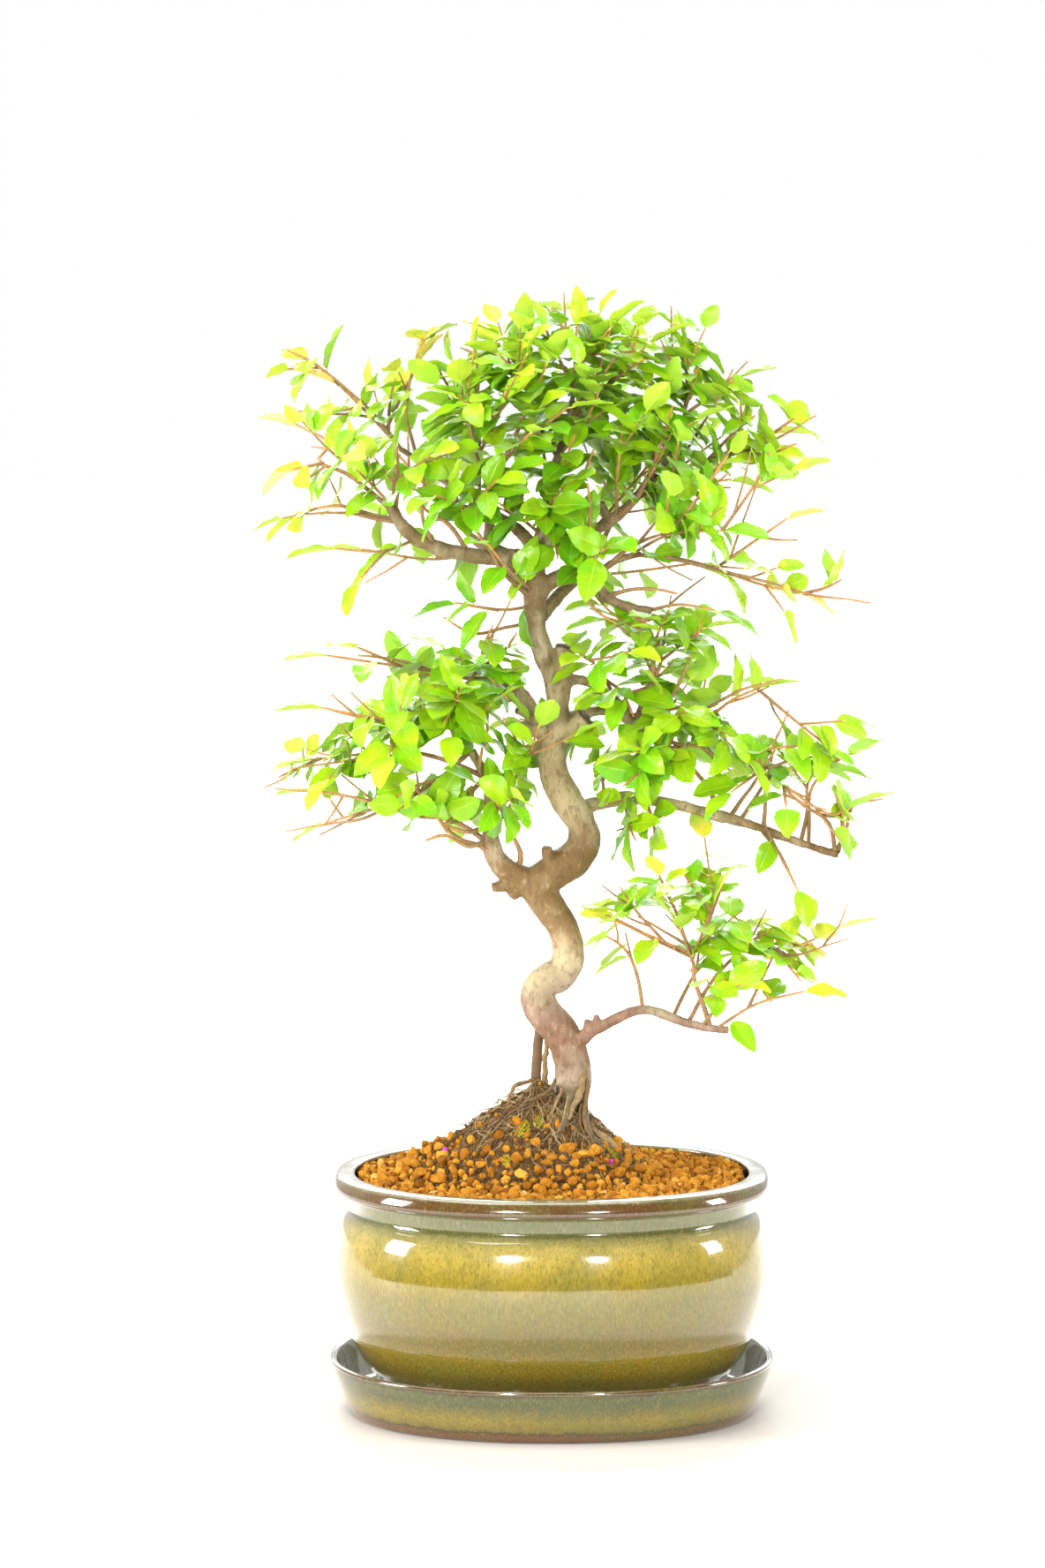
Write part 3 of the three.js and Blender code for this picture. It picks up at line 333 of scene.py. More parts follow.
STRAND_ROOTS = paths_of("""
11.6 -2 131 0.8, 11.9 -6.4 126.5 1.1, 9.6 -9 120.5 1.4, 7.6 -11 116 0.9, 6.2 -13 112 0.5
13 -3 128 0.7, 12.9 -7 120 0.9, 12 -10 113 0.8, 13.6 -12.5 107 0.7, 17.6 -16 100.5 0.4
11 -7 118 0.5, 10.6 -11 110.5 0.6, 13 -15 103.5 0.4
12 -3 110 1, 16 -6 106.5 1.5, 20.5 -8 104 1.7, 24 -9 100.8 1
4 -4 122.5 0.7, 1.5 -9 117.5 0.6, -2 -13 112.6 0.4
1.5 -3 126 0.7, -1.5 -5.5 122 0.7, -6 -8 120 0.6, -11 -9 118 0.4
-1 3 147 0.9, -2.4 4 133 1, -2.6 5 119 1.2
-6 5 124.6 0.9, -9 2 124.2 0.8, -13.6 -1 123 0.8, -15.6 -3 119 0.7, -17 -5 112 0.5
6 -5 121 0.6, 4.6 -12 113 0.5, 1 -18 106 0.4
8 7 122 1.3, 9 13 112 1.1, 12 20 102 0.7
""")

# Bare twigs between the limbs and the leaves.
BARE_TWIGS = paths_of("""
-13 9 271 1.1, -34 6 277 0.8, -56 2 277.5 0.5
-44 8 278.5 0.9, -58 4 283 0.7, -72 0 285 0.4
-40 -6 261.5 0.9, -62 -10 261.5 0.7, -82 -14 266 0.4
-30 -5 250 1.2, -42 -9 240 1, -58 -12 231 0.8, -80 -16 235 0.6, -102 -18 237 0.4
-58 -12 231 0.8, -72 -8 224.5 0.7, -85 -4 222 0.5, -99 -2 219.5 0.35
-50 -4 249 0.8, -74 -12 247 0.6, -97 -16 244.5 0.4
-24.5 -4 240 1.2, -34 -9 231 1, -40 -13 223 0.8, -44 -14 233 0.5
-23 -4 226 1.2, -17 -7 236 1, -12 -10 243 0.7
-23 -4 222 1.3, -32 -8 220 1, -41 -10 223 0.7
-22.8 -4 217 1.3, -31 -9 214.5 1, -40 -12 219 0.8, -47 -14 217.5 0.5
-24 -3 238 1, -27 -10 244 0.8, -26 -14 252 0.5
52 -7 173 0.8, 35 -12 181.5 0.6, 20 -14 189.5 0.35
53 -7 176 0.8, 40 -4 183 0.6, 32 -2 187.5 0.4
58 -11 181 0.7, 68 -10 175.5 0.6, 76 -12 166 0.5, 82 -13 156.5 0.35
78 6 176 0.8, 90 -2 173 0.6, 100 -8 176.5 0.5, 110 -10 180 0.35
101 -8 177 0.6, 107 -8 185 0.5, 110 -8 193 0.3
56 -9 147.5 1.1, 62 -12 156 0.8, 64 -14 166 0.5
32 5 231 1.2, 40 1 239 0.9, 47 -2 244 0.6
66 2 224 1.1, 75 -1 237 0.8, 83 -4 250 0.5
79 2 219 1, 86 -3 209 0.7, 92 -6 197 0.4
96 0 214 1.1, 96 2 224 0.9, 97 3 235 0.7, 107 5 246 0.4
106 0 211 1.2, 110 1 220 0.9, 112 2 228 0.6, 124 3 231 0.35
99 2 226 0.8, 106 1 224.5 0.6, 112 0 227 0.4
79 -3 243 0.8, 92 -5 247 0.6, 106 -6 247.5 0.35
33 0 259 1.7, 36.5 -2 272 1.4, 38 -3 284 1.1, 40 -3 292 0.7
34 -1 262 1.2, 44 -4 270 0.9, 50 -6 282 0.6, 56 -7 299 0.35
35 -1 259 1.3, 45 -5 253 0.9, 56 -8 251 0.7, 66 -10 243 0.4
52 -2 262 0.9, 68 -8 272 0.7, 84 -11 277 0.4
37 -2 280 0.9, 30 -7 292 0.7, 20 -11 300 0.4
17 7 263.5 0.9, 19 -2 270 0.7, 16 -8 281 0.4
18 -9 317 1.2, 30 -14 327 0.9, 46 -17 333 0.5
31 -16 327.5 0.8, 40 -18 338 0.6, 48 -20 348 0.35
44 -12 322 1, 58 -13 318.5 0.8, 76 -13 314 0.7, 96 -13 308.5 0.55, 117 -12 305.5 0.35
33 8 345 1.1, 50 2 347 0.8, 66 -2 347.5 0.4
-8 -3 307 1.3, -16 -8 314 1.1, -24 -12 326 0.9, -37 -15 346 0.5
-56 12 361 0.9, -68 8 376 0.7, -84 4 390 0.5, -98 0 398.5 0.3
-58 -10 338 1.1, -57 -12 350 0.8, -57 -14 364 0.4
-56 -10 335 1.2, -68 -9 337 0.9, -80 -8 338.5 0.6, -95 -8 338 0.35
-22 -6 342 1.1, -28 -6 360 0.8, -31 -7 380 0.6, -28 -8 404 0.35
-50 11 357 0.9, -54 4 374 0.7, -52 0 390 0.5, -48 -2 403 0.3
-66 9 373 0.7, -84 4 375 0.5, -99 2 375.5 0.3
50 10.5 361 0.8, 58 6 374 0.6, 67 2 391 0.35
60 12 358 0.9, 76 6 362 0.7, 98 2 374 0.35
7 6 375 0.8, 16 0 388 0.6, 22 -4 408 0.3
5 -5 315 1.4, 11 -12 322 1.1, 14 -18 334 0.8, 13 -22 350 0.5
-3 1 336 1.2, 8 -8 346 0.9, 15 -14 362 0.5
-30 -9 323 1.3, -38 -14 334 1, -48 -18 341 0.6
-43 -11 326 1.2, -48 -15 337 0.9, -47 -18 352 0.5
13 -9 312 1.1, 15 -16 304 0.8, 24 -20 298 0.5
-6 2 298 1.1, -17 -6 296 0.8, -29 -10 294 0.7, -40 -12 300 0.4
27 -10 304 1.3, 33 -15 299 1, 38 -16 300 0.8
20 -9 307.5 1, 33 -14 311 0.8, 46 -16 309 0.5
24 6 336 1.4, 31 -2 343 1.1, 36 -6 352 0.8, 44 -10 368 0.5
""")

# Few leaves hang where the limbs show.
SPRAYS = sprays_of("""
crown_apex young 0.45
8 6 382, 8.5 5 395, 9 4 407
8.3 5.5 390, 21 -4 406
+ 8 6 384, 2 2 396, -3 -2 407
+ 8.5 5 394, 20 8 404
+ 8.6 5 395, 4 4 406, 0 3 414
crown_top_left young 0.75
2 5 358, -6 3 373, -9 -1 404
-7.5 1.3 385, -20 -10 397
+ -7.5 1.3 385, -22 4 394, -34 4 399
crown_back_top
-1 4 346, -3 19 359, -6 38 384
-3 20 360, 17 33 378
crown_top_right young 0.35
6 6 370, 18 5 382, 35 1 400
+ 6 6 371, 16 -2 385, 24 -8 397
+ 18 5 382, 26 14 392, 30 20 400
+ 22 4 386, 29 -6 392, 34 -14 395
crown_left_upright young 0.7
-27 9 340.5, -27 4 364, -28 -1 396
-27 3 368, -42 -10 385
+ -27 4 364, -36 8 380, -44 10 394
+ -27 3 360, -20 -14 374, -16 -24 386
crown_left_long young 0.95
-56 12 361, -68 11 374, -80 9 386
-62 12 368, -50 3 393
+ -79 9 385, -88 6 393, -98 2 398
+ -61 12 367, -60 4 380, -58 0 388
+ -51 4 392, -48 1 400, -46 0 405
crown_left_high bare 33 young 1 full 0.75
-59.5 -10 340 1.5, -68 -14 347.5 1.2, -76 -16 353.5 1, -86 -18 358 0.9, -82 -13 364, -94 -11 371
-84 -17.8 357.2, -96 -27 355
-80 -17 355.5, -74 -37 362
crown_left_low bare 22 young 0.7 full 0.6
-57 -10 336 1.6, -66 -8 337.5 1.3, -78 -6 341 1, -87 -4 340, -96 -2 337
crown_left_under full 0.05
-50 -11 329, -62 -19 325, -80 -21 326
-61 -18.6 325.3, -70 -35 316
crown_left_front young 0.6
-59 -10 339, -58 -15 352, -57 -19 364
-58 -14 350, -44 -32 361
+ -59 -11 341, -66 -16 349, -72 -22 355
crown_front_left
-23 -6 336, -33 -19 342, -43 -35 346
-31 -17 341, -20 -37 352
crown_front bare 23
-19.5 -7 354 1.5, -14 -7 366 1.2, -10 -7 375 0.9, -6 -12 384, -2 -16 394
-18 -7 357, -8 -36 369
-14 -19 363, 6 -24 378
+ -1 4 346, 4 -14 356, 8 -24 368
+ 2 5 358, 12 -10 372, 18 -20 386
+ -3 2 334, -2 -12 340, 2 -22 346
+ -4 1 330, -12 -12 337, -20 -22 343
+ 0 2 332, 1 -8 328, 2 -16 322
crown_low_left full 0.08
-6 -2 304, -18 -13 303, -36 -18 306
-20 -14 303, -31 -33 306
crown_front_low_left full 0.22
-7 -3 309, -15 -17 317, -24 -34 329
crown_front_low_right full 0.1
8 -6 315, 14 -20 322, 22 -38 329
crown_right_low full 0.05
36 -11 302.8, 47 -14 305, 60 -16 303
crown_right_long bare 33 young 0.7
31 -10.8 323.2 1.2, 50 -12 321 1, 63 -12 317 0.9, 78 -12 312, 93 -11 309
60 -12 318, 86 -20 337
+ 93 -11 309, 101 -11 311, 107 -10 314
crown_right_front full 0.5
27 -10.3 322, 43 -19 331, 62 -28 333
41 -18 330.3, 42 -37 346
+ 43 -19 331, 54 -24 346, 64 -24 360
+ 62 -28 333, 74 -24 350, 80 -20 362
crown_right_mid full 0.8
31 8 343, 46 -4 348, 66 -13 351
44 -3 347.4, 46 -21 365
+ 24 6 336.5, 24 -8 352, 26 -16 372
+ 31 8 343, 38 -8 358, 44 -16 378
crown_right_high young 0.45
38 9 350.5, 60 12 358, 84 9 368
+ 66 11.5 360, 80 0 360, 90 -8 364
+ 82 9 367, 90 5 373
crown_right_top
45.5 10 361, 50 9 379, 49 7 399
49 9 374, 69 4 388
+ 38 9 350.5, 37 2 368, 36 -4 388
+ 58 12 357, 68 6 368, 75 0 374
+ 49 8.5 384, 44 4 394, 40 0 402
+ 49 9 376, 52 0 386, 54 -4 392
crown_back_right
21.5 46 329, 30 54 339, 38 60 349
crown_back_left full 0.8
-41.5 47.5 340, -51 54 349, -59 58 358
-42.3 48.2 341, -29 60 364
crown_back_low_right full 0.15
10 24 313, 30 34 314, 54 38 317
crown_back_low_left full 0.2
-24 26 322, -46 31 319, -72 29 323
-42 30.4 319.4, -62 46 334
crown_back_mid
16 4.5 332, 28 21 345, 44 38 363
+ 28 21 345, 16 30 362, 8 34 384
left_pad_upper young 0.5 full 0.4
-43 8 278.3, -60 6 281, -85 3 285
-56 6.5 280.4, -72 -11 289
left_pad_upper_front
-22 12 274, -27 -4 281, -36 -19 286
+ -27 -4 281, -22 -14 277, -16 -20 270
+ -27 -4 281, -34 -18 272, -40 -26 262
+ -27 -3 281, -25 -8 290, -22 -12 297
+ -26 -3 281, -18 -4 287, -13 -6 294
left_pad_middle bare 43 young 0.4
-12 11 269 1.9, -24 2 266 1.5, -38 -6 262 1.3, -49 -9 260 1, -66 -13 263, -86 -14 267
-55 -10.6 261, -60 -30 251
-37 -5.6 262.2, -37 -28 258
+ -24 2 266, -24 -14 262, -24 -24 252
left_pad_outer bare 39 young 0.45 full 0.8
-25 -4 240 1.6, -38 -6 246 1.3, -50 -4 249 1.1, -62 -2 250 0.9, -75 1 247.5, -89 2 246
-70 0 248.6, -83 -19 241
+ -86 2 246.4, -95 -2 243, -102 -6 240
left_pad_low_outer bare 34 young 0.45 full 0.5
-22 -4 214 1.8, -33 2 221 1.3, -41 5 223.5 1.1, -51 8 224 0.9, -68 6 230, -90 4 234
-62 6.8 228.2, -86 17 220
-33 2 221, -46 26 233
+ -40 -9 240, -50 -14 238, -58 -18 234
left_pad_low_front bare 24
-20 -3 209 1.7, -27 -5 214.5 1.4, -33 -7 216.5 1.2, -39 -9 221 1, -45 -15 230, -51 -19 238
left_pad_inner bare 25
-14 -1 203 2.2, -11.5 -3 210 1.5, -14.5 -5 218 1.1, -18 -6 226 0.9, -22 -15 233, -28 -22 240
left_pad_inner_right bare 19
-22.5 -3 228 1.3, -16 -6 236 1.1, -12 -8 243 0.9, -8 -15 251, -5 -20 261
+ -12 -8 243, -13 -16 254, -18 -22 264
left_pad_rise
-29.5 -5 249, -30 -10 259, -23 -15 268
+ -30 -10 259, -38 -16 268, -44 -20 276
left_pad_back bare 34
-21 12 273 1.6, -34 22 268 1.3, -48 29 262 0.9, -60 32 260, -73 33 257
-50 29.6 261.8, -49 44 276
right_pad_top bare 27 young 0.3
31 1 260 1.7, 34 0 268 1.4, 38 -1 276 1.2, 40.5 -2 285 0.9, 33 -8 295, 20 -11 300
40.2 -1.9 283, 56 -6 296
right_pad_inner bare 20
24 2.5 267.5 1.3, 20 0 276 1, 17 -1 281 0.8, 14 -11 284, 10 -20 287
+ 16 7 263.5, 10 14 256, 8 18 248
+ 20 0 276, 26 -12 272, 30 -20 264
right_pad_outer bare 25 young 0.35
34 0 258.6 1.8, 44 -2 260 1.3, 58 -3 262.5 0.9, 67 -5 269, 78 -6 274
55 -2.9 262, 71 -19 250
43 -1.9 260, 49 -24 267
+ 76 -6 273.3, 92 -8 260, 105 -8 250
right_pad_back bare 29
26 4.4 262 1.5, 38 15 262 1.2, 52 23 265 0.9, 61 28 269, 70 33 273
right_pad_back_upper bare 18
21 2.7 269.6 1.4, 32 8 271 1.1, 40 12 275 0.8, 37 19 282, 32 27 289
right_pad_low
40.5 -1 250.8, 51 4 250, 62 7 247
+ 41 -1 250, 34 -10 244, 26 -18 238
right_limb_inner bare 32
61 3 225 1.6, 59.5 -1 234 1.3, 55 -4 240 1.1, 46 -9 250 0.9, 39 -14 251, 31 -19 251
+ 20 7 229.5, 19 2 240, 22 -6 250
+ 35 5 230.5, 36 -8 238, 40 -18 244
+ 28 5 231, 28 -4 224, 31 -12 217
+ 35 5 230.5, 38 -2 222, 38 -10 214
right_limb_middle bare 32 young 0.3 full 0.55
79 2 219.5 1.3, 79.5 -3 230 1, 79 -6 240 0.9, 77 -8 249 0.8, 86 -10 252, 97 -11 252
78.4 -7 243.4, 66 -19 236
79.2 1 222, 91 -12 199
right_limb_high bare 24
93 1 215 1.2, 95.5 3 226 1, 96 4 238 0.8, 104 7 243, 111 9 247
right_limb_end bare 37 young 0.45 full 0.7
106 0 210.8 1.4, 103 -3 223 1, 93 -6 230 0.9, 85 -8 238 0.8, 104 -5 226, 111 -6 229
86 -7.8 237, 86 -26 231
+ 107 0 211, 109 0 221, 106 -2 233
right_limb_back bare 24
70 2 222.5 1.2, 76 10 230 1, 82 17 237 0.8, 90 23 239, 99 28 241
80.4 15.4 235.4, 70 34 247
low_right_inner bare 28 young 0.35
59 -9 146.6 1.5, 57 -9 153.5 1.4, 53 -8 165 1.1, 52 -7 173 0.9, 42 -11 179, 24 -13 187
52 -7.2 171, 60 -12 194
55.5 -9 157, 70 -24 165
+ 58 -10 186, 62 -8 196, 64 -4 202
+ 52 -7 173, 46 -2 190, 40 0 203
+ 42 -11 179, 31 -10 191, 25 -10 200
+ 59 -12 190, 53 -14 199, 48 -14 206
low_right_left bare 21 young 0.3 full 0.3
34 -7 153 1.2, 32 -5 165 1, 29 -4 173 0.8, 25 -9 178, 20 -16 182
low_right_outer bare 42 young 0.9
51 -8 148.4 1.3, 58 -2 160 1.1, 66 3 169 1, 77 6 176.5 0.8, 91 7 175, 107 9 181
+ 77 6 176.5, 84 0 174, 92 -6 170
+ 66 3 169, 74 -4 178, 82 -10 184
low_right_end young 0.85 full 0.3
61 -9 146, 76 -13 156, 94 -14 161
73 -12.4 154.4, 84 -6 176
+ 84 -6 176, 88 -8 170, 93 -10 164
low_right_back bare 29 young 0.4 full 0.8
45 -8 150 1.2, 50 4 158 1, 56 14 166 0.9, 64 21 171, 72 27 177
""")

# Places that the leaves leave open, seen from the front: x from, x to, z from, z to, and the y that they may
# stay behind.
OPEN_PLACES = path_of("""
-8 8 228 288 -2, -9 24 195 228 -2, -12 1 288 314 -3, -74 -57 399 430, -120 -98 345 388, -98 -84 358 372,
-100 -66 272 302, -86 -50 292 314, -110 -88 296 332, 64 100 322 350, -60 -42 306 320, 62 86 290 312,
-62 -34 211 227, 43 50 208 226, 74 92 196 236, 72 86 186 206, 24 36 176 190, 36 50 162 176, 46 74 136 162,
-48 -10 416 440, 24 70 415 440, 22 36 328 342, 62 84 390 410, 96 110 290 308, 84 100 272 290,
-113 -89 340 350, -42 -14 291 307, 30 80 303 317, -92 -74 254 269, -78 -64 267 283, 66 106 257 274,
88 106 218 236, -92 -72 205 232, 30 54 168 186, -113 -101 230 244, 64 104 146 161
""")

Leaf = namedtuple("Leaf", "foot forward side normal length width droop fold tone phase")


# Seeded draws

def draws_from(seed):
    state = seed

    def draw(low, high):
        nonlocal state
        state = (state * 1664525 + 1013904223) % 4294967296
        return low + (high - low) * state / 4294967296

    return draw


# Vectors and curves

def unit(vector):
    return vector / np.linalg.norm(vector)


class Curve:
    """A smooth line through points, with the radius beside each point."""

    DIVISIONS = 200
    NEARBY = 1e-4

    def __init__(self, points, radii=None):
        self.points = np.array([point[:3] for point in points], float)
        self.radii = radii or [point[3] for point in points]
        self.shares = np.linspace(0, 1, self.DIVISIONS + 1)
        samples = np.array([self.point(share) for share in self.shares])
        steps = np.linalg.norm(np.diff(samples, axis=0), axis=1)
        self.lengths = np.concatenate([[0], np.cumsum(steps)])
        self.length = self.lengths[-1]

    def point(self, share):
        points = self.points
        last = len(points) - 1
        place = share * last
        first = min(int(place), last - 1)
        weight = place - first
        p1, p2 = points[first], points[first + 1]
        p0 = points[first - 1] if first > 0 else 2 * p1 - p2
        p3 = points[first + 2] if first + 2 <= last else 2 * p2 - p1
        d0, d1, d2 = (math.sqrt(np.linalg.norm(b - a)) for a, b in ((p0, p1), (p1, p2), (p2, p3)))
        start = ((p1 - p0) / d0 - (p2 - p0) / (d0 + d1) + (p2 - p1) / d1) * d1
        end = ((p2 - p1) / d1 - (p3 - p1) / (d1 + d2) + (p3 - p2) / d2) * d1
        curve = p1 + start * weight + (3 * (p2 - p1) - 2 * start - end) * weight ** 2
        return curve + (2 * (p1 - p2) + start + end) * weight ** 3

    def share_at(self, length_share):
        return float(np.interp(length_share * self.length, self.lengths, self.shares))

    def at(self, length_share):
        return self.point(self.share_at(length_share))

    def direction(self, length_share):
        share = self.share_at(length_share)
        return unit(self.point(min(1, share + self.NEARBY)) - self.point(max(0, share - self.NEARBY)))

    def radius(self, share):
        return float(np.interp(share * (len(self.radii) - 1), range(len(self.radii)), self.radii))

    def samples(self, count):
        """Shares and points that part the curve into even lengths."""
        shares = [self.share_at(step / count) for step in range(count + 1)]
        return shares, [self.point(share) for share in shares]

    def uneven_radii(self, shares, places, unevenness, size, seed, slimness=1):
        """The radii at the places, with swellings of about the size."""
        swells = [1 + unevenness * lumps(place, size, seed) for place in places]
        return [slimness * self.radius(share) * swell for share, swell in zip(shares, swells)]


# Meshes

def add_object(name, data):
    added = bpy.data.objects.new(name, data)
    bpy.context.scene.collection.objects.link(added)
    return added


class Shape:
    """Points in mm, faces and what the materials read, gathered bit by bit."""

    def __init__(self):
        self.points = []
        self.faces = []
        self.paints = []
        self.tones = []
        self.blades = []
        self.count = 0

    def add(self, points, faces, paint=0, tone=0.5, blade=None):
        points = np.asarray(points, float).reshape(-1, 3)
        number = len(points)
        self.points.append(points)
        self.faces.extend([tuple(corner + self.count for corner in face) for face in faces])
        self.paints.extend([paint] * len(faces))
        self.tones.append(np.broadcast_to(np.asarray(tone, float), (number,)))
        self.blades.append(np.zeros((number, 3)) if blade is None else blade)
        self.count += number

    def piece(self, name, materials, slot, nodes, sharp_angle=50):
        mesh = bpy.data.meshes.new(name)
        mesh.from_pydata((np.concatenate(self.points) * MM).tolist(), [], self.faces)
        mesh.attributes.new("tone", "FLOAT", "POINT").data.foreach_set("value", np.concatenate(self.tones))
        blades = mesh.attributes.new("blade", "FLOAT_VECTOR", "POINT")
        blades.data.foreach_set("vector", np.concatenate(self.blades).ravel())
        for material in materials:
            mesh.materials.append(material)
        mesh.polygons.foreach_set("material_index", self.paints)
        mesh.polygons.foreach_set("use_smooth", [True] * len(mesh.polygons))
        mesh.set_sharp_from_angle(angle=math.radians(sharp_angle))
        piece = add_object(name, mesh)
        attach(piece, "root")
        if nodes:
            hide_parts(*nodes)
        return piece


def settle(piece):
    """Puts what the modifiers make into the mesh itself."""
    bpy.context.view_layer.update()
    shown = piece.evaluated_get(bpy.context.evaluated_depsgraph_get())
    mesh = bpy.data.meshes.new_from_object(shown)
    piece.modifiers.clear()
    piece.data = mesh


def tube(points, radii, sides):
    """A closed round rod along points."""
    points = np.asarray(points, float)
    along = np.gradient(points, axis=0)
    across = np.array([0.31, -0.95, 0.05])
    angles = np.arange(sides) * 2 * math.pi / sides
    rings = []
    for place, heading, radius in zip(points, along, radii):
        heading = unit(heading)
        across = unit(across - heading * across.dot(heading))
        over = np.cross(heading, across)
        ring = np.outer(np.cos(angles), across) + np.outer(np.sin(angles), over)
        rings.append(place + ring * radius)
    faces = []
    for ring in range(len(points) - 1):
        for side in range(sides):
            a = ring * sides + side
            b = ring * sides + (side + 1) % sides
            faces.append((a, b, b + sides, a + sides))
    faces.append(tuple(reversed(range(sides))))
    faces.append(tuple(range((len(points) - 1) * sides, len(points) * sides)))
    return np.concatenate(rings), faces


def lumps(place, size, seed=0.0):
    """A smooth value from -1 to 1 that changes over about size mm."""
    return noise.noise(Vector((place[0] / size + seed, place[1] / size - seed, place[2] / size + 2 * seed)))


# Materials

class Nodes:
    """Short ways to add nodes to a tree."""

    def __init__(self, tree):
        self.tree = tree

    def node(self, kind, inputs=None, **settings):
        node = self.tree.nodes.new("ShaderNode" + kind)
        for setting, value in settings.items():
            setattr(node, setting, value)
        for socket, value in (inputs or {}).items():
            if isinstance(value, bpy.types.NodeSocket):
                self.tree.links.new(value, node.inputs[socket])
            else:
                node.inputs[socket].default_value = value
        return node

    def parts(self, vector):
        return self.node("SeparateXYZ", {"Vector": vector}).outputs

    def math(self, operation, first, second=0.0, clamp=False):
        node = self.node("Math", {0: first, 1: second}, operation=operation, use_clamp=clamp)
        return node.outputs["Value"]

    def span(self, value, low, high, new_low=0.0, new_high=1.0):
        inputs = {"Value": value, "From Min": low, "From Max": high, "To Min": new_low, "To Max": new_high}
        return self.node("MapRange", inputs).outputs["Result"]


class Look(Nodes):
    """A Principled material. Noise sizes and bump distances are in mm."""

    def __init__(self, name, **settings):
        self.material = bpy.data.materials.new(name)
        self.material.use_nodes = True
        super().__init__(self.material.node_tree)
        self.shader = self.tree.nodes["Principled BSDF"]
        for socket, value in settings.items():
            self.shader.inputs[socket.replace("_", " ")].default_value = value

    def place(self, stretch=(1, 1, 1)):
        place = self.node("TexCoord").outputs["Object"]
        if stretch == (1, 1, 1):
            return place
        return self.node("Mapping", {"Vector": place, "Scale": stretch}).outputs["Vector"]

    def attribute(self, name, output="Fac"):
        return self.node("Attribute", attribute_name=name).outputs[output]

    def noise(self, size, detail=3.0, rough=0.55, stretch=(1, 1, 1), distort=0.0):
        inputs = {
            "Vector": self.place(stretch), "Scale": 1 / (size * MM), "Detail": detail, "Roughness": rough,
            "Distortion": distort,
        }
        return self.node("TexNoise", inputs).outputs["Fac"]

    def cells(self, size):
        inputs = {"Vector": self.place(), "Scale": 1 / (size * MM)}
        return self.node("TexVoronoi", inputs).outputs["Distance"]

    def ramp(self, value, stops, top=1):
        """Colours by stops of position, red, green, blue. The positions run from 0 to the top."""
        node = self.node("ValToRGB", {"Fac": value})
        elements = node.color_ramp.elements
        stops = path_of(stops)
        while len(elements) < len(stops):
            elements.new(0.5)
        for element, (position, *colour) in zip(elements, stops):
            element.position = position / top
            element.color = (*colour, 1)
        return node.outputs["Color"]

    def mix(self, share, first, second, blend="MIX"):
        node = self.node("Mix", data_type="RGBA", blend_type=blend)
        for index, value in ((0, share), (6, first), (7, second)):
            if isinstance(value, bpy.types.NodeSocket):
                self.tree.links.new(value, node.inputs[index])
            elif index == 0:
                node.inputs[index].default_value = value
            else:
                node.inputs[index].default_value = (*value, 1)
        return node.outputs[2]

    def tint(self, colour, share, strength, tint):
        """The colour, moved towards a tint by up to the strength, where the share is 1."""
        return self.mix(share, colour, self.mix(strength, colour, tint))

    def patches(self, colour, value, low, high, most, strength, tint):
        """The colour, tinted where the value passes from low to high."""
        return self.tint(colour, self.span(value, low, high, 0.0, most), strength, tint)

    def set(self, socket, value):
        self.tree.links.new(value, self.shader.inputs[socket])

    def roughness(self, size, low, high):
        self.set("Roughness", self.span(self.noise(size), 0.3, 0.7, low, high))

    def bump(self, height, distance, strength=1.0):
        inputs = {"Height": height, "Distance": distance * MM, "Strength": strength}
        self.set("Normal", self.node("Bump", inputs).outputs["Normal"])


def glaze(name, stops, top, wobble, inside=None):
    """A fired glaze whose colours change with height, with runs, clouds, stipple and specks."""
    look = Look(name, Coat_Weight=1.0, Coat_Roughness=0.015)
    run = (1, 1, 0.25)
    shift = look.span(look.noise(4.5, 4.0, 0.6, run), 0.25, 0.75, -wobble * MM, wobble * MM)
    level = look.span(look.math("ADD", look.parts(look.place())["Z"], shift), 0.0, top * MM)
    colour = look.ramp(level, stops, top)
    if inside:
        colour = look.mix(look.attribute("tone"), colour, inside)
    clouds, veil = look.noise(21, 3.0, 0.55), look.noise(2.8, 4.0, 0.6, run)
    stipple = look.noise(0.55, 3.0, 0.6, (1, 1, 0.2))
    colour = look.patches(colour, clouds, 0.42, 0.62, 0.75, 0.45, (0.09, 0.10, 0.02))
    colour = look.patches(colour, veil, 0.5, 0.32, 0.5, 0.5, (0.06, 0.075, 0.025))
    colour = look.patches(colour, stipple, 0.5, 0.34, 0.8, 0.5, (0.04, 0.042, 0.01))
    colour = look.patches(colour, stipple, 0.53, 0.7, 0.5, 0.3, (0.50, 0.42, 0.15))
    specks = look.span(look.cells(1.7), 0.12, 0.22, 0.9, 0.0)
    look.set("Base Color", look.tint(colour, specks, 0.6, (0.03, 0.022, 0.01)))
    look.roughness(9, 0.08, 0.16)
    look.bump(look.noise(13, 1.5, 0.4), 0.3, 0.3)
    return look.material


def pot_glaze():
    return glaze("pot_glaze", """
        0 0.05 0.026 0.012, 11 0.055 0.038 0.008, 19 0.120 0.083 0.008, 31 0.165 0.112 0.009,
        35.5 0.112 0.074 0.002, 41 0.116 0.077 0.002, 45 0.135 0.098 0.006, 52 0.145 0.110 0.008,
        61 0.22 0.160 0.013, 68 0.32 0.235 0.038, 73 0.31 0.245 0.060, 75.8 0.22 0.19 0.06,
        77.2 0.06 0.058 0.018, 78.6 0.088 0.088 0.026, 83 0.100 0.096 0.028, 84.2 0.05 0.03 0.010,
        85.4 0.066 0.025 0.007, 89.6 0.085 0.037 0.010, 90.75 0.20 0.19 0.11, 92 0.25 0.25 0.17
        """, 92, 0.5)


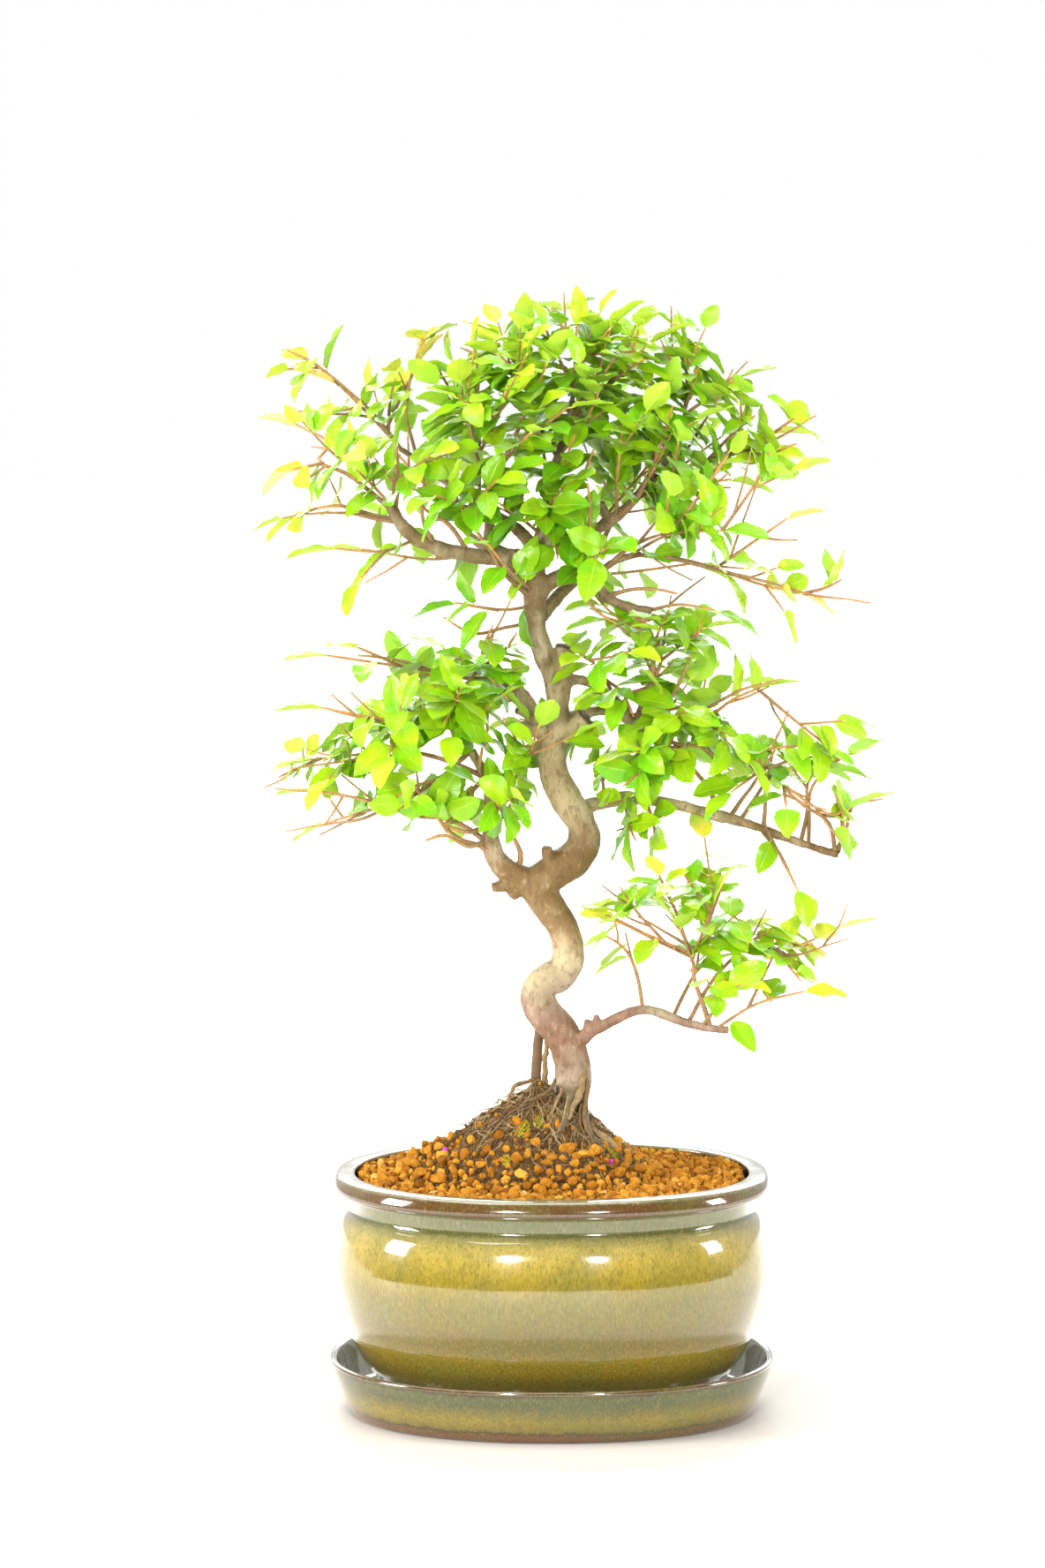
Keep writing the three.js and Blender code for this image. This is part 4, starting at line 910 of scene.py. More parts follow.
def tray_glaze():
    return glaze("tray_glaze", """
        0 0.13 0.050 0.018, 3.2 0.13 0.048 0.016, 4 0.05 0.028 0.008, 5.2 0.16 0.115 0.010,
        9 0.215 0.155 0.012, 12 0.13 0.105 0.020, 15 0.068 0.072 0.026, 18.2 0.072 0.076 0.028,
        19.2 0.045 0.030 0.010, 20.4 0.07 0.030 0.008, 22 0.11 0.09 0.045
        """, 22, 1.1, (0.34, 0.34, 0.24))


def mesh_plastic():
    look = Look("drain_mesh", Specular_IOR_Level=0.4)
    look.set("Base Color", look.ramp(look.noise(3), "0.3 0.015 0.015 0.014, 0.7 0.05 0.048 0.045"))
    look.roughness(1.5, 0.45, 0.7)
    look.bump(look.noise(0.6), 0.08, 0.5)
    return look.material


def baked_clay():
    """Granules: each has its own tone, and a dusty, pitted face."""
    look = Look("granules", Specular_IOR_Level=0.1)
    colour = look.ramp(look.attribute("tone"), """
        0 0.09 0.032 0.005, 0.14 0.22 0.075 0.007, 0.4 0.46 0.175 0.013, 0.7 0.64 0.275 0.024,
        0.93 0.76 0.40 0.055, 1 0.78 0.50 0.14
        """)
    grit = look.span(look.noise(0.7, 4.0, 0.7), 0.38, 0.58)
    colour = look.mix(grit, look.mix(0.5, colour, (0.10, 0.038, 0.007)), colour)
    dust = look.span(look.noise(2.2, 3.0), 0.54, 0.72, 0.0, 0.45)
    look.set("Base Color", look.mix(dust, colour, (0.78, 0.38, 0.045)))
    look.roughness(1.1, 0.75, 1.0)
    look.bump(look.noise(0.7, 4.0, 0.8), 0.6, 1.0)
    return look.material


def old_soil():
    look = Look("old_soil", Specular_IOR_Level=0.1)
    fibres = look.noise(1.6, 5.0, 0.75, (1, 1, 0.6), 1.2)
    colour = look.ramp(fibres, "0.34 0.040 0.021 0.008, 0.48 0.125 0.066 0.022, 0.64 0.34 0.195 0.070")
    crumbs = look.span(look.cells(1.7), 0.1, 0.42)
    look.set("Base Color", look.tint(colour, crumbs, 0.4, (0.03, 0.018, 0.008)))
    look.roughness(2.0, 0.8, 1.0)
    look.bump(look.noise(0.9, 5.0, 0.75), 0.8, 1.0)
    return look.material


def root_bark():
    look = Look("fine_roots", Specular_IOR_Level=0.2)
    colour = look.ramp(look.attribute("tone"), "0 0.055 0.030 0.014, 0.5 0.19 0.115 0.048, 1 0.46 0.34 0.17")
    colour = look.patches(colour, look.noise(2.2, 4.0, 0.65), 0.42, 0.6, 0.8, 0.6, (0.09, 0.055, 0.025))
    look.set("Base Color", colour)
    look.roughness(1.5, 0.7, 0.95)
    look.bump(look.noise(0.8, 5.0, 0.7), 0.35, 0.9)
    return look.material


def moss_green():
    look = Look("moss", Specular_IOR_Level=0.2)
    colour = look.ramp(look.attribute("tone"), "0 0.07 0.07 0.008, 0.55 0.26 0.24 0.015, 1 0.52 0.46 0.04")
    look.set("Base Color", colour)
    look.roughness(1, 0.6, 0.9)
    return look.material


def bead_pink():
    look = Look("fertiliser_bead", Specular_IOR_Level=0.3)
    look.set("Base Color", look.ramp(look.noise(1.5), "0.3 0.42 0.02 0.30, 0.7 0.62 0.05 0.48"))
    look.roughness(1, 0.4, 0.6)
    return look.material


def bark():
    """Bark that changes up the tree, with grey patches, fine cracks, pale specks, dark cut ends and painted
    shade low on its left side.
    """
    look = Look("bark", Specular_IOR_Level=0.25)
    parts = look.parts(look.place())
    bend = look.span(look.noise(22, 2.0, 0.5), 0.3, 0.7, -0.010, 0.010)
    level = look.span(look.math("ADD", parts["Z"], bend), 0.1, 0.35)
    colour = look.ramp(level, """
        0.05 0.06 0.038 0.018, 0.082 0.12 0.085 0.042, 0.105 0.29 0.23 0.155, 0.15 0.20 0.105 0.060,
        0.20 0.225 0.137 0.095, 0.232 0.32 0.255 0.155, 0.272 0.40 0.33 0.19, 0.304 0.36 0.26 0.14,
        0.344 0.22 0.14 0.06, 0.392 0.165 0.098 0.034, 0.45 0.165 0.095 0.034, 0.52 0.32 0.25 0.125,
        0.648 0.31 0.25 0.125, 0.74 0.20 0.14 0.06, 1 0.165 0.11 0.048
        """)
    broad = look.noise(11, 3.0, 0.5, (1, 1, 0.6))
    grain = look.noise(2.6, 6.0, 0.72, (1, 1, 0.5), 0.6)
    colour = look.patches(colour, broad, 0.5, 0.7, 0.5, 0.6, (0.62, 0.54, 0.38))
    colour = look.patches(colour, broad, 0.48, 0.3, 0.6, 0.6, (0.13, 0.075, 0.035))
    colour = look.patches(colour, grain, 0.48, 0.37, 0.85, 0.7, (0.09, 0.05, 0.025))
    colour = look.patches(colour, grain, 0.55, 0.68, 0.5, 0.6, (0.60, 0.50, 0.33))
    colour = look.patches(colour, look.noise(0.8, 2.0, 0.5), 0.66, 0.76, 0.35, 0.5, (0.66, 0.58, 0.42))
    # Painted shade: the trunk and roots left of x -1.5 mm and below z 145 mm are darkened towards dark
    # brown.
    left, low = look.span(parts["X"], -0.0015, -0.003), look.span(parts["Z"], 0.145, 0.140)
    colour = look.mix(look.math("MULTIPLY", left, low), colour, (0.13, 0.075, 0.035))
    look.set("Base Color", look.mix(look.attribute("tone"), colour, (0.05, 0.03, 0.018)))
    look.roughness(3, 0.5, 0.8)
    relief = look.mix(0.5, look.noise(2.2, 6.0, 0.7, (1, 1, 0.5), 0.5), look.noise(0.7, 3.0, 0.6))
    look.bump(relief, 0.35, 0.8)
    return look.material


def twig_bark():
    """Orange-brown where young, grey-brown where older."""
    look = Look("twig_bark", Specular_IOR_Level=0.35)
    stops = "0 0.19 0.12 0.05, 0.45 0.33 0.19 0.075, 0.8 0.50 0.24 0.07, 1 0.58 0.26 0.07"
    grain = look.span(look.noise(1.3, 4.0, 0.6, (1, 1, 0.6)), 0.35, 0.65, 0.0, 0.5)
    look.set("Base Color", look.mix(grain, look.ramp(look.attribute("tone"), stops), (0.10, 0.06, 0.035)))
    look.roughness(1, 0.5, 0.75)
    look.bump(look.noise(0.6, 3.0), 0.12, 0.6)
    return look.material


def leaf_green(name, freshness):
    """A glossy blade: deep green to yellow and peach by its tone, with paler veins and underside."""
    look = Look(name, Specular_IOR_Level=0.34)
    parts = look.parts(look.attribute("blade", "Vector"))
    share, across, under = parts["X"], parts["Y"], parts["Z"]
    tone = look.math("ADD", look.attribute("tone"), look.span(look.noise(6, 2.0), 0.3, 0.7, -0.05, 0.05))
    colour = look.ramp(look.math("ADD", tone, freshness, clamp=True), """
        0 0.09 0.23 0.003, 0.22 0.165 0.36 0.003, 0.45 0.27 0.49 0.004, 0.66 0.38 0.57 0.008,
        0.82 0.58 0.66 0.025, 0.93 0.80 0.58 0.09, 1 0.86 0.42 0.14
        """)
    cool = look.span(look.noise(13, 1.0), 0.48, 0.62, 0.0, 0.75)
    colour = look.mix(cool, colour, look.mix(1.0, colour, (0.55, 1.0, 1.0), "MULTIPLY"))
    away = look.math("ABSOLUTE", across)
    rib = look.span(away, 0.02, 0.09, 0.75, 0.0)
    slant = look.math("SUBTRACT", share, look.math("MULTIPLY", away, 0.2))
    stripes = look.math("ABSOLUTE", look.math("SINE", look.math("MULTIPLY", slant, 21.0)))
    veins = look.math("MAXIMUM", rib, look.span(stripes, 0.0, 0.16, 0.42, 0.0))
    colour = look.tint(colour, veins, 0.35, (0.62, 0.74, 0.10))
    colour = look.patches(colour, look.noise(1.1, 3.0), 0.35, 0.65, 0.22, 0.5, (0.05, 0.14, 0.005))
    look.set("Base Color", look.tint(colour, look.math("MULTIPLY", under, 0.55), 0.5, (0.46, 0.60, 0.10)))
    look.set("Roughness", look.span(under, 0.0, 1.0, 0.3, 0.55))
    look.bump(look.math("SUBTRACT", look.math("MULTIPLY", look.noise(1.4), 0.4), veins), 0.2, 0.6)
    return look.material


# The pot and the tray

def rounded(profile):
    """The profile with each corner turned into a short curve."""
    points = [np.array(point[:2], float) for point in profile]
    outline = [points[0]]
    for i in range(1, len(points) - 1):
        before, corner, after = points[i - 1:i + 2]
        rounding = profile[i][2]
        back = min(0.5, rounding / np.linalg.norm(before - corner))
        ahead = min(0.5, rounding / np.linalg.norm(after - corner))
        start = corner + (before - corner) * back
        end = corner + (after - corner) * ahead
        for step in range(ROUNDING_STEPS + 1):
            share = step / ROUNDING_STEPS
            outline.append(start * (1 - share) ** 2 + corner * 2 * share * (1 - share) + end * share ** 2)
    outline.append(points[-1])
    kept = [outline[0]]
    for point in outline[1:]:
        if np.linalg.norm(point - kept[-1]) > SHORTEST_STEP:
            kept.append(point)
    return kept


def half_width(half_length):
    if half_length > CORE_HALF_LENGTH:
        return half_length - PLAN_DIFFERENCE
    return half_length * (1 - PLAN_DIFFERENCE / CORE_HALF_LENGTH)


def plan_point(angle):
    power = 2 / PLAN_EXPONENT
    x, y = math.cos(angle), math.sin(angle)
    return math.copysign(abs(x) ** power, x), math.copysign(abs(y) ** power, y)


def oval(profile, wave):
    """A closed oval body round the profile, with a slight unevenness."""
    outline = rounded(profile)
    points = [(0, 0, outline[0][1])]
    for half_length, height in outline[1:-1]:
        for step in range(PLAN_STEPS):
            x, y = plan_point(2 * math.pi * step / PLAN_STEPS)
            place = (x * half_length, y * half_width(half_length), height)
            push = 1 + wave * lumps(place, GLAZE_WAVE_SIZE, 3.1) / half_length
            points.append((place[0] * push, place[1] * push, height))
    points.append((0, 0, outline[-1][1]))
    rings = len(outline) - 2
    faces = []
    for step in range(PLAN_STEPS):
        after = (step + 1) % PLAN_STEPS
        faces.append((0, 1 + after, 1 + step))
        for ring in range(rings - 1):
            a, b = 1 + ring * PLAN_STEPS + step, 1 + ring * PLAN_STEPS + after
            faces.append((a, b, b + PLAN_STEPS, a + PLAN_STEPS))
        last = 1 + (rings - 1) * PLAN_STEPS
        faces.append((last + step, last + after, len(points) - 1))
    return np.array(points, float), faces


def make_tray(material):
    """The tray, with tone 1 inside its brim."""
    shape = Shape()
    points, faces = oval(TRAY_PROFILE, GLAZE_WAVE)
    brim = np.flatnonzero(points[:, 2] > points[:, 2].max() - 0.05)[-1]
    shape.add(points, faces, tone=1.0 * (np.arange(len(points)) > brim))
    shape.piece("oval_drip_tray", [material], "tray_glaze", ["drip_tray"], 60)


def foot_gaps(points):
    """Lifts the foot ring's face in four places, so that it stands on four feet."""
    roof = FOOT_FACE + FOOT_GAP_HEIGHT
    for point in points:
        inward = min(abs(point[0]), abs(point[1]))
        share = min(1, max(0, (FOOT_GAP_HALF_WIDTH + FOOT_GAP_SLOPE / 2 - inward) / FOOT_GAP_SLOPE))
        if point[2] < roof:
            point[2] += (roof - point[2]) * share
    return points


def make_pot(material):
    points, faces = oval(POT_PROFILE, GLAZE_WAVE)
    shape = Shape()
    shape.add(foot_gaps(points), faces)
    pot = shape.piece("oval_pot", [material], "pot_glaze", ["pot"], 60)
    for x in (-DRAIN_HOLE_X, DRAIN_HOLE_X):
        bpy.ops.mesh.primitive_cylinder_add(
            vertices=40, radius=DRAIN_HOLE_RADIUS * MM, depth=DRAIN_HOLE_DEPTH * MM,
            location=(x * MM, 0, DRAIN_HOLE_MIDDLE * MM))
        cutter = bpy.context.object
        cut = pot.modifiers.new("drain_hole", "BOOLEAN")
        cut.operation = "DIFFERENCE"
        cut.solver = "EXACT"
        cut.object = cutter
        settle(pot)
        bpy.data.objects.remove(cutter)


def dress_drain_meshes(material):
    for name in ("drain_mesh_left", "drain_mesh_right"):
        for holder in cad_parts[name].material_slots:
            holder.link = "OBJECT"
            holder.material = material


# The soil

def mound_height(x, y):
    """The mound's surface over a place, far below the granules outside it."""
    dx = (x - MOUND_CENTRE_X) / (MOUND_REACH["left"] if x < MOUND_CENTRE_X else MOUND_REACH["right"])
    dy = y / (MOUND_REACH["front"] if y < 0 else MOUND_REACH["back"])
    shares, heights = zip(*MOUND_PROFILE)
    rough = 1.1 * lumps((x, y, 0), 7, 1.7) + 0.7 * lumps((x, y, 0), 2.6, 5.2)
    return float(np.interp(math.hypot(dx, dy), shares, heights)) + rough


def grain_template(fineness):
    ball = bmesh.new()
    bmesh.ops.create_icosphere(ball, subdivisions=fineness, radius=1)
    points = np.array([vertex.co for vertex in ball.verts])
    faces = [[vertex.index for vertex in face.verts] for face in ball.faces]
    ball.free()
    return points, faces


def grain(template, random):
    """A rounded, uneven lump of radius 1."""
    points = template.copy()
    for _ in range(GRAIN_CUTS):
        way = unit(random.normal(size=3))
        over = np.maximum(0, points @ way - random.uniform(*GRAIN_CUT_DEPTH))
        points -= np.outer(over, way)
    points *= random.uniform(*GRAIN_STRETCH, size=3)
    swell = np.sin(points @ random.normal(size=3) * 4 + random.uniform(0, 6))
    return points * (1 + 0.08 * swell)[:, None]


def grain_tone(random):
    return float(np.clip(random.normal(0.55, 0.22), 0.02, 1))


def granule_stays(height, chance):
    """Granules thin out up the mound's side."""
    return height <= BED_TOP or chance > ((height - BED_TOP) / 11) ** 0.6


def crumb_stays(height, chance):
    """Crumbs thin out towards the mound's top, and few lie between the granules."""
    return chance > (max(0, height - BED_TOP - 1) / 42) ** 1.5 and (height > BED_TOP or chance < 0.45)


def inside_bed(x, y, margin):
    half_length = BED_HALF_LENGTH - margin
    power = PLAN_EXPONENT
    return (abs(x) / half_length) ** power + (abs(y) / (half_length - PLAN_DIFFERENCE)) ** power < 1


def spread(random, count, tries, sizes, accept):
    """Places with a radius, no two too close: [x, y, radius]."""
    taken = np.zeros((count, 3))
    number = 0
    for _ in range(tries):
        if number == count:
            break
        x = random.uniform(-BED_HALF_LENGTH, BED_HALF_LENGTH)
        y = random.uniform(-BED_HALF_LENGTH + PLAN_DIFFERENCE, BED_HALF_LENGTH - PLAN_DIFFERENCE)
        radius = sizes[0] + (sizes[1] - sizes[0]) * random.random() ** 1.3
        if not inside_bed(x, y, radius) or not accept(mound_height(x, y), random.random()):
            continue
        near = taken[:number]
        gaps = np.hypot(near[:, 0] - x, near[:, 1] - y) - GRAIN_SPREAD * (near[:, 2] + radius)
        if number and gaps.min() < 0:
            continue
        taken[number] = (x, y, radius)
        number += 1
    return taken[:number]


def make_bed(material, bead):
    random = np.random.default_rng(7)
    shape = Shape()
    shape.add(*oval(BED_PROFILE, 0), tone=0.3)
    template, faces = grain_template(2)
    for x, y, radius in spread(random, GRAIN_COUNT, GRAIN_TRIES, GRAIN_RADIUS, granule_stays):
        z = max(BED_BASE_TOP, mound_height(x, y)) + radius * random.uniform(0.3, 0.9)
        shape.add(np.array([x, y, z]) + radius * grain(template, random), faces, tone=grain_tone(random))
    for x, y in LONE_GRAINS:
        radius = random.uniform(*LONE_GRAIN_RADIUS)
        place = np.array([x, y, mound_height(x, y) + 0.6 * radius])
        shape.add(place + radius * grain(template, random), faces, tone=grain_tone(random))
    for x, y in BEADS:
        place = np.array([x, y, mound_height(x, y) + 1.6])
        shape.add(place + BEAD_RADIUS * grain(template, random), faces, paint=1)
    shape.piece("clay_granules", [material, bead], "granules", ["granule_bed"], 42)


def make_mound(soil, roots, moss, clay):
    shape = Shape()
    add_mound_body(shape)
    add_crumbs(shape)
    add_strand_roots(shape)
    add_fine_roots(shape)
    add_moss(shape)
    shape.piece("old_soil_mound", [soil, roots, moss, clay], "old_soil", ["root_ball"], 80)


def add_mound_body(shape):
    points = [(MOUND_CENTRE_X, 0, mound_height(MOUND_CENTRE_X, 0))]
    for ring in range(1, MOUND_RINGS + 1):
        share = MOUND_EDGE * ring / MOUND_RINGS
        for step in range(MOUND_STEPS):
            angle = 2 * math.pi * step / MOUND_STEPS
            x, y = math.cos(angle) * share, math.sin(angle) * share
            x = MOUND_CENTRE_X + x * (MOUND_REACH["left"] if x < 0 else MOUND_REACH["right"])
            y *= MOUND_REACH["front"] if y < 0 else MOUND_REACH["back"]
            points.append((x, y, mound_height(x, y)))
    edge = points[-MOUND_STEPS:]
    points.extend((MOUND_CENTRE_X + (x - MOUND_CENTRE_X) * 0.8, y * 0.8, MOUND_BOTTOM) for x, y, _ in edge)
    faces = [tuple(reversed(range(len(points) - MOUND_STEPS, len(points))))]
    for step in range(MOUND_STEPS):
        after = (step + 1) % MOUND_STEPS
        faces.append((0, 1 + step, 1 + after))
        for ring in range(MOUND_RINGS):
            a, b = 1 + ring * MOUND_STEPS + step, 1 + ring * MOUND_STEPS + after
            faces.append((a, a + MOUND_STEPS, b + MOUND_STEPS, b))
    shape.add(points, faces)


def add_crumbs(shape):
    """Bits of soil and broken granules, thinner near the top."""
    random = np.random.default_rng(11)
    template, faces = grain_template(1)
    for x, y, radius in spread(random, CRUMB_COUNT, CRUMB_TRIES, CRUMB_RADIUS, crumb_stays):
        height = mound_height(x, y)
        place = np.array([x, y, max(height, BED_BASE_TOP + 1.2) + radius * random.uniform(0, 0.6)])
        paint = 3 if random.random() < 0.5 or height < BED_TOP + 1 else 0
        points = place + radius * grain(template, random)
        shape.add(points, faces, paint=paint, tone=random.uniform(0.05, 0.7))


def add_fine_roots(shape):
    """Thin roots that wander over the mound."""
    random = np.random.default_rng(19)
    for _ in range(FINE_ROOTS):
        way = random.uniform(0, 2 * math.pi)
        away = random.uniform(2, 30)
        x, y = 3 + math.cos(way) * away * 1.2, math.sin(way) * away * 0.85
        heading = way + random.normal(0, 0.9)
        steps = int(random.uniform(4, 15))
        rise = random.uniform(0.5, 3) if random.random() < 0.35 else 0.2
        path = []
        for step in range(steps):
            lift = 0.15 + rise * math.sin(math.pi * step / steps) + 0.3 * random.random()
            path.append((x, y, mound_height(x, y) + lift))
            heading += random.normal(0, 0.35)
            x += FINE_ROOT_STEP * math.cos(heading)
            y += FINE_ROOT_STEP * math.sin(heading)
        if path[-1][2] > BED_TOP + 1:
            thick = random.uniform(*FINE_ROOT_RADIUS)
            radii = np.linspace(thick, thick * 0.5, len(path))
            shape.add(*tube(path, radii, 5), paint=1, tone=random.uniform(0.05, 1))


def add_strand_roots(shape):
    """The roots that leave the trunk's foot and run down into the soil."""
    random = np.random.default_rng(43)
    for points in STRAND_ROOTS:
        curve = Curve(points)
        shares, line = curve.samples(int(curve.length / 0.9))
        line = [place + 0.35 * random.normal(size=3) * curve.radius(share) ** 0.5
                for share, place in zip(shares, line)]
        line = [(a + 2 * b + c) / 4 for a, b, c in zip(line[:1] + line, line, line[1:] + line[-1:])]
        radii = curve.uneven_radii(shares, line, 0.22, 2.6, 1)
        shape.add(*tube(line, radii, 12), paint=1, tone=random.uniform(0.4, 0.8))


def add_moss(shape):
    """Small tufts of pointed moss leaves."""
    random = np.random.default_rng(31)
    for centre_x, centre_y, reach in MOSS_PATCHES:
        for _ in range(int(MOSS_TUFTS * reach / MOSS_FULL_RADIUS)):
            angle = random.uniform(0, 2 * math.pi)
            away = reach * math.sqrt(random.random())
            x, y = centre_x + away * math.cos(angle), centre_y + away * math.sin(angle)
            foot = np.array([x, y, mound_height(x, y) + 0.5 * (1 - (away / reach) ** 2)])
            for _ in range(MOSS_BLADES):
                way = unit(np.array([random.normal(0, 0.8), random.normal(0, 0.8), 1.0]))
                length = random.uniform(0.4, 1.1)
                path = [foot, foot + way * length * 0.5, foot + way * length + random.normal(0, 0.2, 3)]
                shape.add(*tube(path, MOSS_RADII, 4), paint=2, tone=random.uniform(0.2, 1))


# The wood

def branch_tube(points):
    curve = Curve(points)
    shares, path = curve.samples(max(6, int(curve.length / 1.3)))
    return tube(path, curve.uneven_radii(shares, path, 0.10, 6, 0.4), 18)


def make_trunk(material):
    """All the wood in one skin, with knobbly bark."""
    shape = Shape()
    foot = [[*point[:3], radius] for point, radius in zip(TRUNK_LINE, FOOT_RADII)]
    roots = [[[*point[:3], point[3] * share] for point in root] for root, share in zip(ROOTS, ROOT_SHARES)]
    for points in [foot + TRUNK_LINE[len(foot):], *BRANCHES.values(), *STUBS, *roots]:
        shape.add(*branch_tube(points))
    trunk = shape.piece("trunk_and_limbs", [material], "bark", ["trunk"], 80)
    skin = trunk.modifiers.new("skin", "REMESH")
    skin.mode = "VOXEL"
    skin.voxel_size = SKIN_SIZE * MM
    ease = trunk.modifiers.new("ease", "SMOOTH")
    ease.factor = 0.5
    ease.iterations = 4
    settle(trunk)
    mesh = trunk.data
    places, normals = np.zeros(len(mesh.vertices) * 3), np.zeros(len(mesh.vertices) * 3)
    mesh.vertices.foreach_get("co", places)
    mesh.vertices.foreach_get("normal", normals)
    places, normals = places.reshape(-1, 3) / MM, normals.reshape(-1, 3)
    relief = np.array([bark_relief(place) for place in places])
    places += normals * relief[:, None]
    mesh.vertices.foreach_set("co", (places * MM).ravel())
    if "tone" in mesh.attributes:
        mesh.attributes.remove(mesh.attributes["tone"])
    mesh.attributes.new("tone", "FLOAT", "POINT").data.foreach_set("value", cut_ends(places))
    mesh.polygons.foreach_set("use_smooth", [True] * len(mesh.polygons))
    mesh.update()


def bark_relief(place):
    """How far the bark stands out of the skin."""
    x, y, z = place
    knobs = 0.3 * lumps(place, 5, 0.9) + 0.22 * lumps((x, y, z * 0.6), 1.9, 2.3)
    return knobs + 0.1 * lumps(place, 0.9, 4.4)


def cut_ends(places):
    """The dark tone on the flat ends of the sawn stubs and limb, 0 elsewhere."""
    cut = np.zeros(len(places))
    for path in [*STUBS[:SAWN_STUBS], BRANCHES["right_middle_limb"]]:
        before, last = np.array(path[-2][:3]), np.array(path[-1][:3])
        axis = unit(last - before)
        offset = places - last
        beyond = offset @ axis
        away = np.linalg.norm(offset - np.outer(beyond, axis), axis=1)
        cut[(beyond > -0.7) & (beyond < 2) & (away < path[-1][3] * 1.15)] = SAWN_TONE
    return cut


def make_twigs(material):
    """The bare twigs, which the skin of the trunk would be too coarse for."""
    shape = Shape()
    for points in BARE_TWIGS:
        curve = Curve(points)
        shares, line = curve.samples(int(curve.length / 2))
        bends = [np.array([lumps(place, 9, seed) for seed in (1, 5, 9)]) for place in line]
        line = [place + TWIG_BEND * bend for place, bend in zip(line, bends)]
        radii = curve.uneven_radii(shares, line, 0.2, 2.5, 2, TWIG_SLIMNESS)
        tone = np.repeat(np.linspace(0.1, 0.9, len(line)), TWIG_SIDES)
        shape.add(*tube(line, radii, TWIG_SIDES), tone=tone)
    shape.piece("bare_twigs", [material], "bark", [])


# The leafy sprays

class Crowd:
    """What is already placed: points with the radius round each that is taken."""

    MOST = 40000

    def __init__(self):
        self.spots = np.zeros((self.MOST, 4))
        self.count = 0

    def add(self, points, radius):
        points = np.asarray(points).reshape(-1, 3)
        end = self.count + len(points)
        self.spots[self.count:end, :3] = points
        self.spots[self.count:end, 3] = radius
        self.count = end

    def room(self, points):
        """The least distance from the points to what is there."""
        points = np.asarray(points)
        centre = points.mean(axis=0)
        taken = self.spots[:self.count]
        taken = taken[np.abs(taken[:, :3] - centre).max(axis=1) < FAR_APART]
        if not len(taken):
            return float(FAR_APART)
        gaps = np.linalg.norm(points[:, None, :] - taken[None, :, :3], axis=2) - taken[None, :, 3]
        return float(gaps.min())


def in_open_place(points):
    for x0, x1, z0, z1, *behind in OPEN_PLACES:
        for x, y, z in points:
            if x0 < x < x1 and z0 < z < z1 and (not behind or y < behind[0]):
                return True
    return False


def in_box(points):
    low, high = (np.array(corner) / MM for corner in CAD_BOX)
    points = np.asarray(points)
    return bool((points >= low - BOX_EASE).all() and (points <= high + BOX_EASE).all())


def leaf_of(foot, reach, up, length, width_share, tone, phase, fold=LEAF_EDGE_RISE, droop=LEAF_DROOP):
    forward = unit(reach)
    side = unit(np.cross(up, forward))
    normal = np.cross(forward, side)
    return Leaf(foot, forward, side, normal, length, length * width_share, droop, fold, tone, phase)


def leaf_point(leaf, share, across=0.0):
    width = blade_width(share) * leaf.width / 2
    height = abs(across) * 2 * width * leaf.fold - share ** 2 * leaf.droop * leaf.length
    place = leaf.foot + leaf.forward * share * leaf.length
    return place + leaf.side * across * width + leaf.normal * height


def leaf_spots(leaf):
    places = ((0.35, 0), (0.65, 0), (1, 0), (0.5, -0.75), (0.5, 0.75))
    return np.array([leaf_point(leaf, share, across) for share, across in places])


def blade_width(share):
    """The blade's half width at a share of the leaf's length, as a share of its greatest."""
    place = np.clip((share - BLADE_START) / (1 - BLADE_START), 0, 1)
    return np.maximum(0.035, np.sin(math.pi * place ** 0.8) ** 0.72)


def drawn_leaf(curve, share, rank, heart, draw):
    """A leaf as the solid's rule draws it: foot, reach, up, length."""
    foot = curve.at(share)
    along = curve.direction(share)
    up = np.array([draw(*LEAF_TILT), draw(*LEAF_TILT), draw(*LEAF_UPWARD)])
    up += LEAF_OUTWARD * unit(foot - heart)
    side = unit(np.cross(along, up))
    reach = along * (1 if rank == 0 else draw(*LEAF_FORWARD))
    reach = reach + side * rank * draw(*LEAF_SIDEWAYS)
    reach[2] -= draw(*LEAF_SAG)
    return foot, reach, up, draw(*LEAF_LENGTH)


def solid_tip(leaf):
    drop = LEAF_THICKNESS / 2 - leaf.droop * leaf.length
    return leaf.foot + leaf.forward * leaf.length + leaf.normal * drop


def kept_leaf(curve, share, rank, heart, seed, corners):
    """The leaf that the solid has at this place, or None. Its tip is one of the solid's corners."""
    draw = draws_from(seed)
    for _ in range(LEAF_TRIES):
        foot, reach, up, length = drawn_leaf(curve, share, rank, heart, draw)
        leaf = leaf_of(foot, reach, up, length, LEAF_WIDTH_SHARE, 0.5, draws_from(seed + 7)(0, 6.28))
        if np.linalg.norm(corners - solid_tip(leaf), axis=1).min() < 0.25:
            return leaf
    return None


def leaf_places(curve, bare):
    count = max(1, int((curve.length - bare) // LEAF_SPACING))
    shares = [(bare + (curve.length - bare) * k / count) / curve.length for k in range(count)]
    return [*shares, LAST_LEAF_SHARE]


def plan_sprays():
    """Gives each spray its group, heart and curves, and the leaves that its solid has."""
    for index, spray in enumerate(SPRAYS):
        spray["group"] = next(group for group in HEARTS if spray["name"].startswith(group))
        spray["heart"] = np.array(HEARTS[spray["group"]], float)
        spray["curves"] = [Curve(shoot, shoot_radii(shoot)) for shoot in spray["shoots"]]
        spray["leaves"] = solid_leaves(spray, index)
        spray["twigs"] = []


def shoot_radii(shoot):
    """A point's own radius, or one that falls evenly from foot to tip."""
    last = len(shoot) - 1
    thick, thin = SHOOT_RADIUS
    even = [thick + (thin - thick) * i / last for i in range(len(shoot))]
    return [point[3] if len(point) > 3 else radius for point, radius in zip(shoot, even)]


def bare_start(spray, shoot):
    return spray["bare"] if shoot == 0 else LEAF_BARE_START


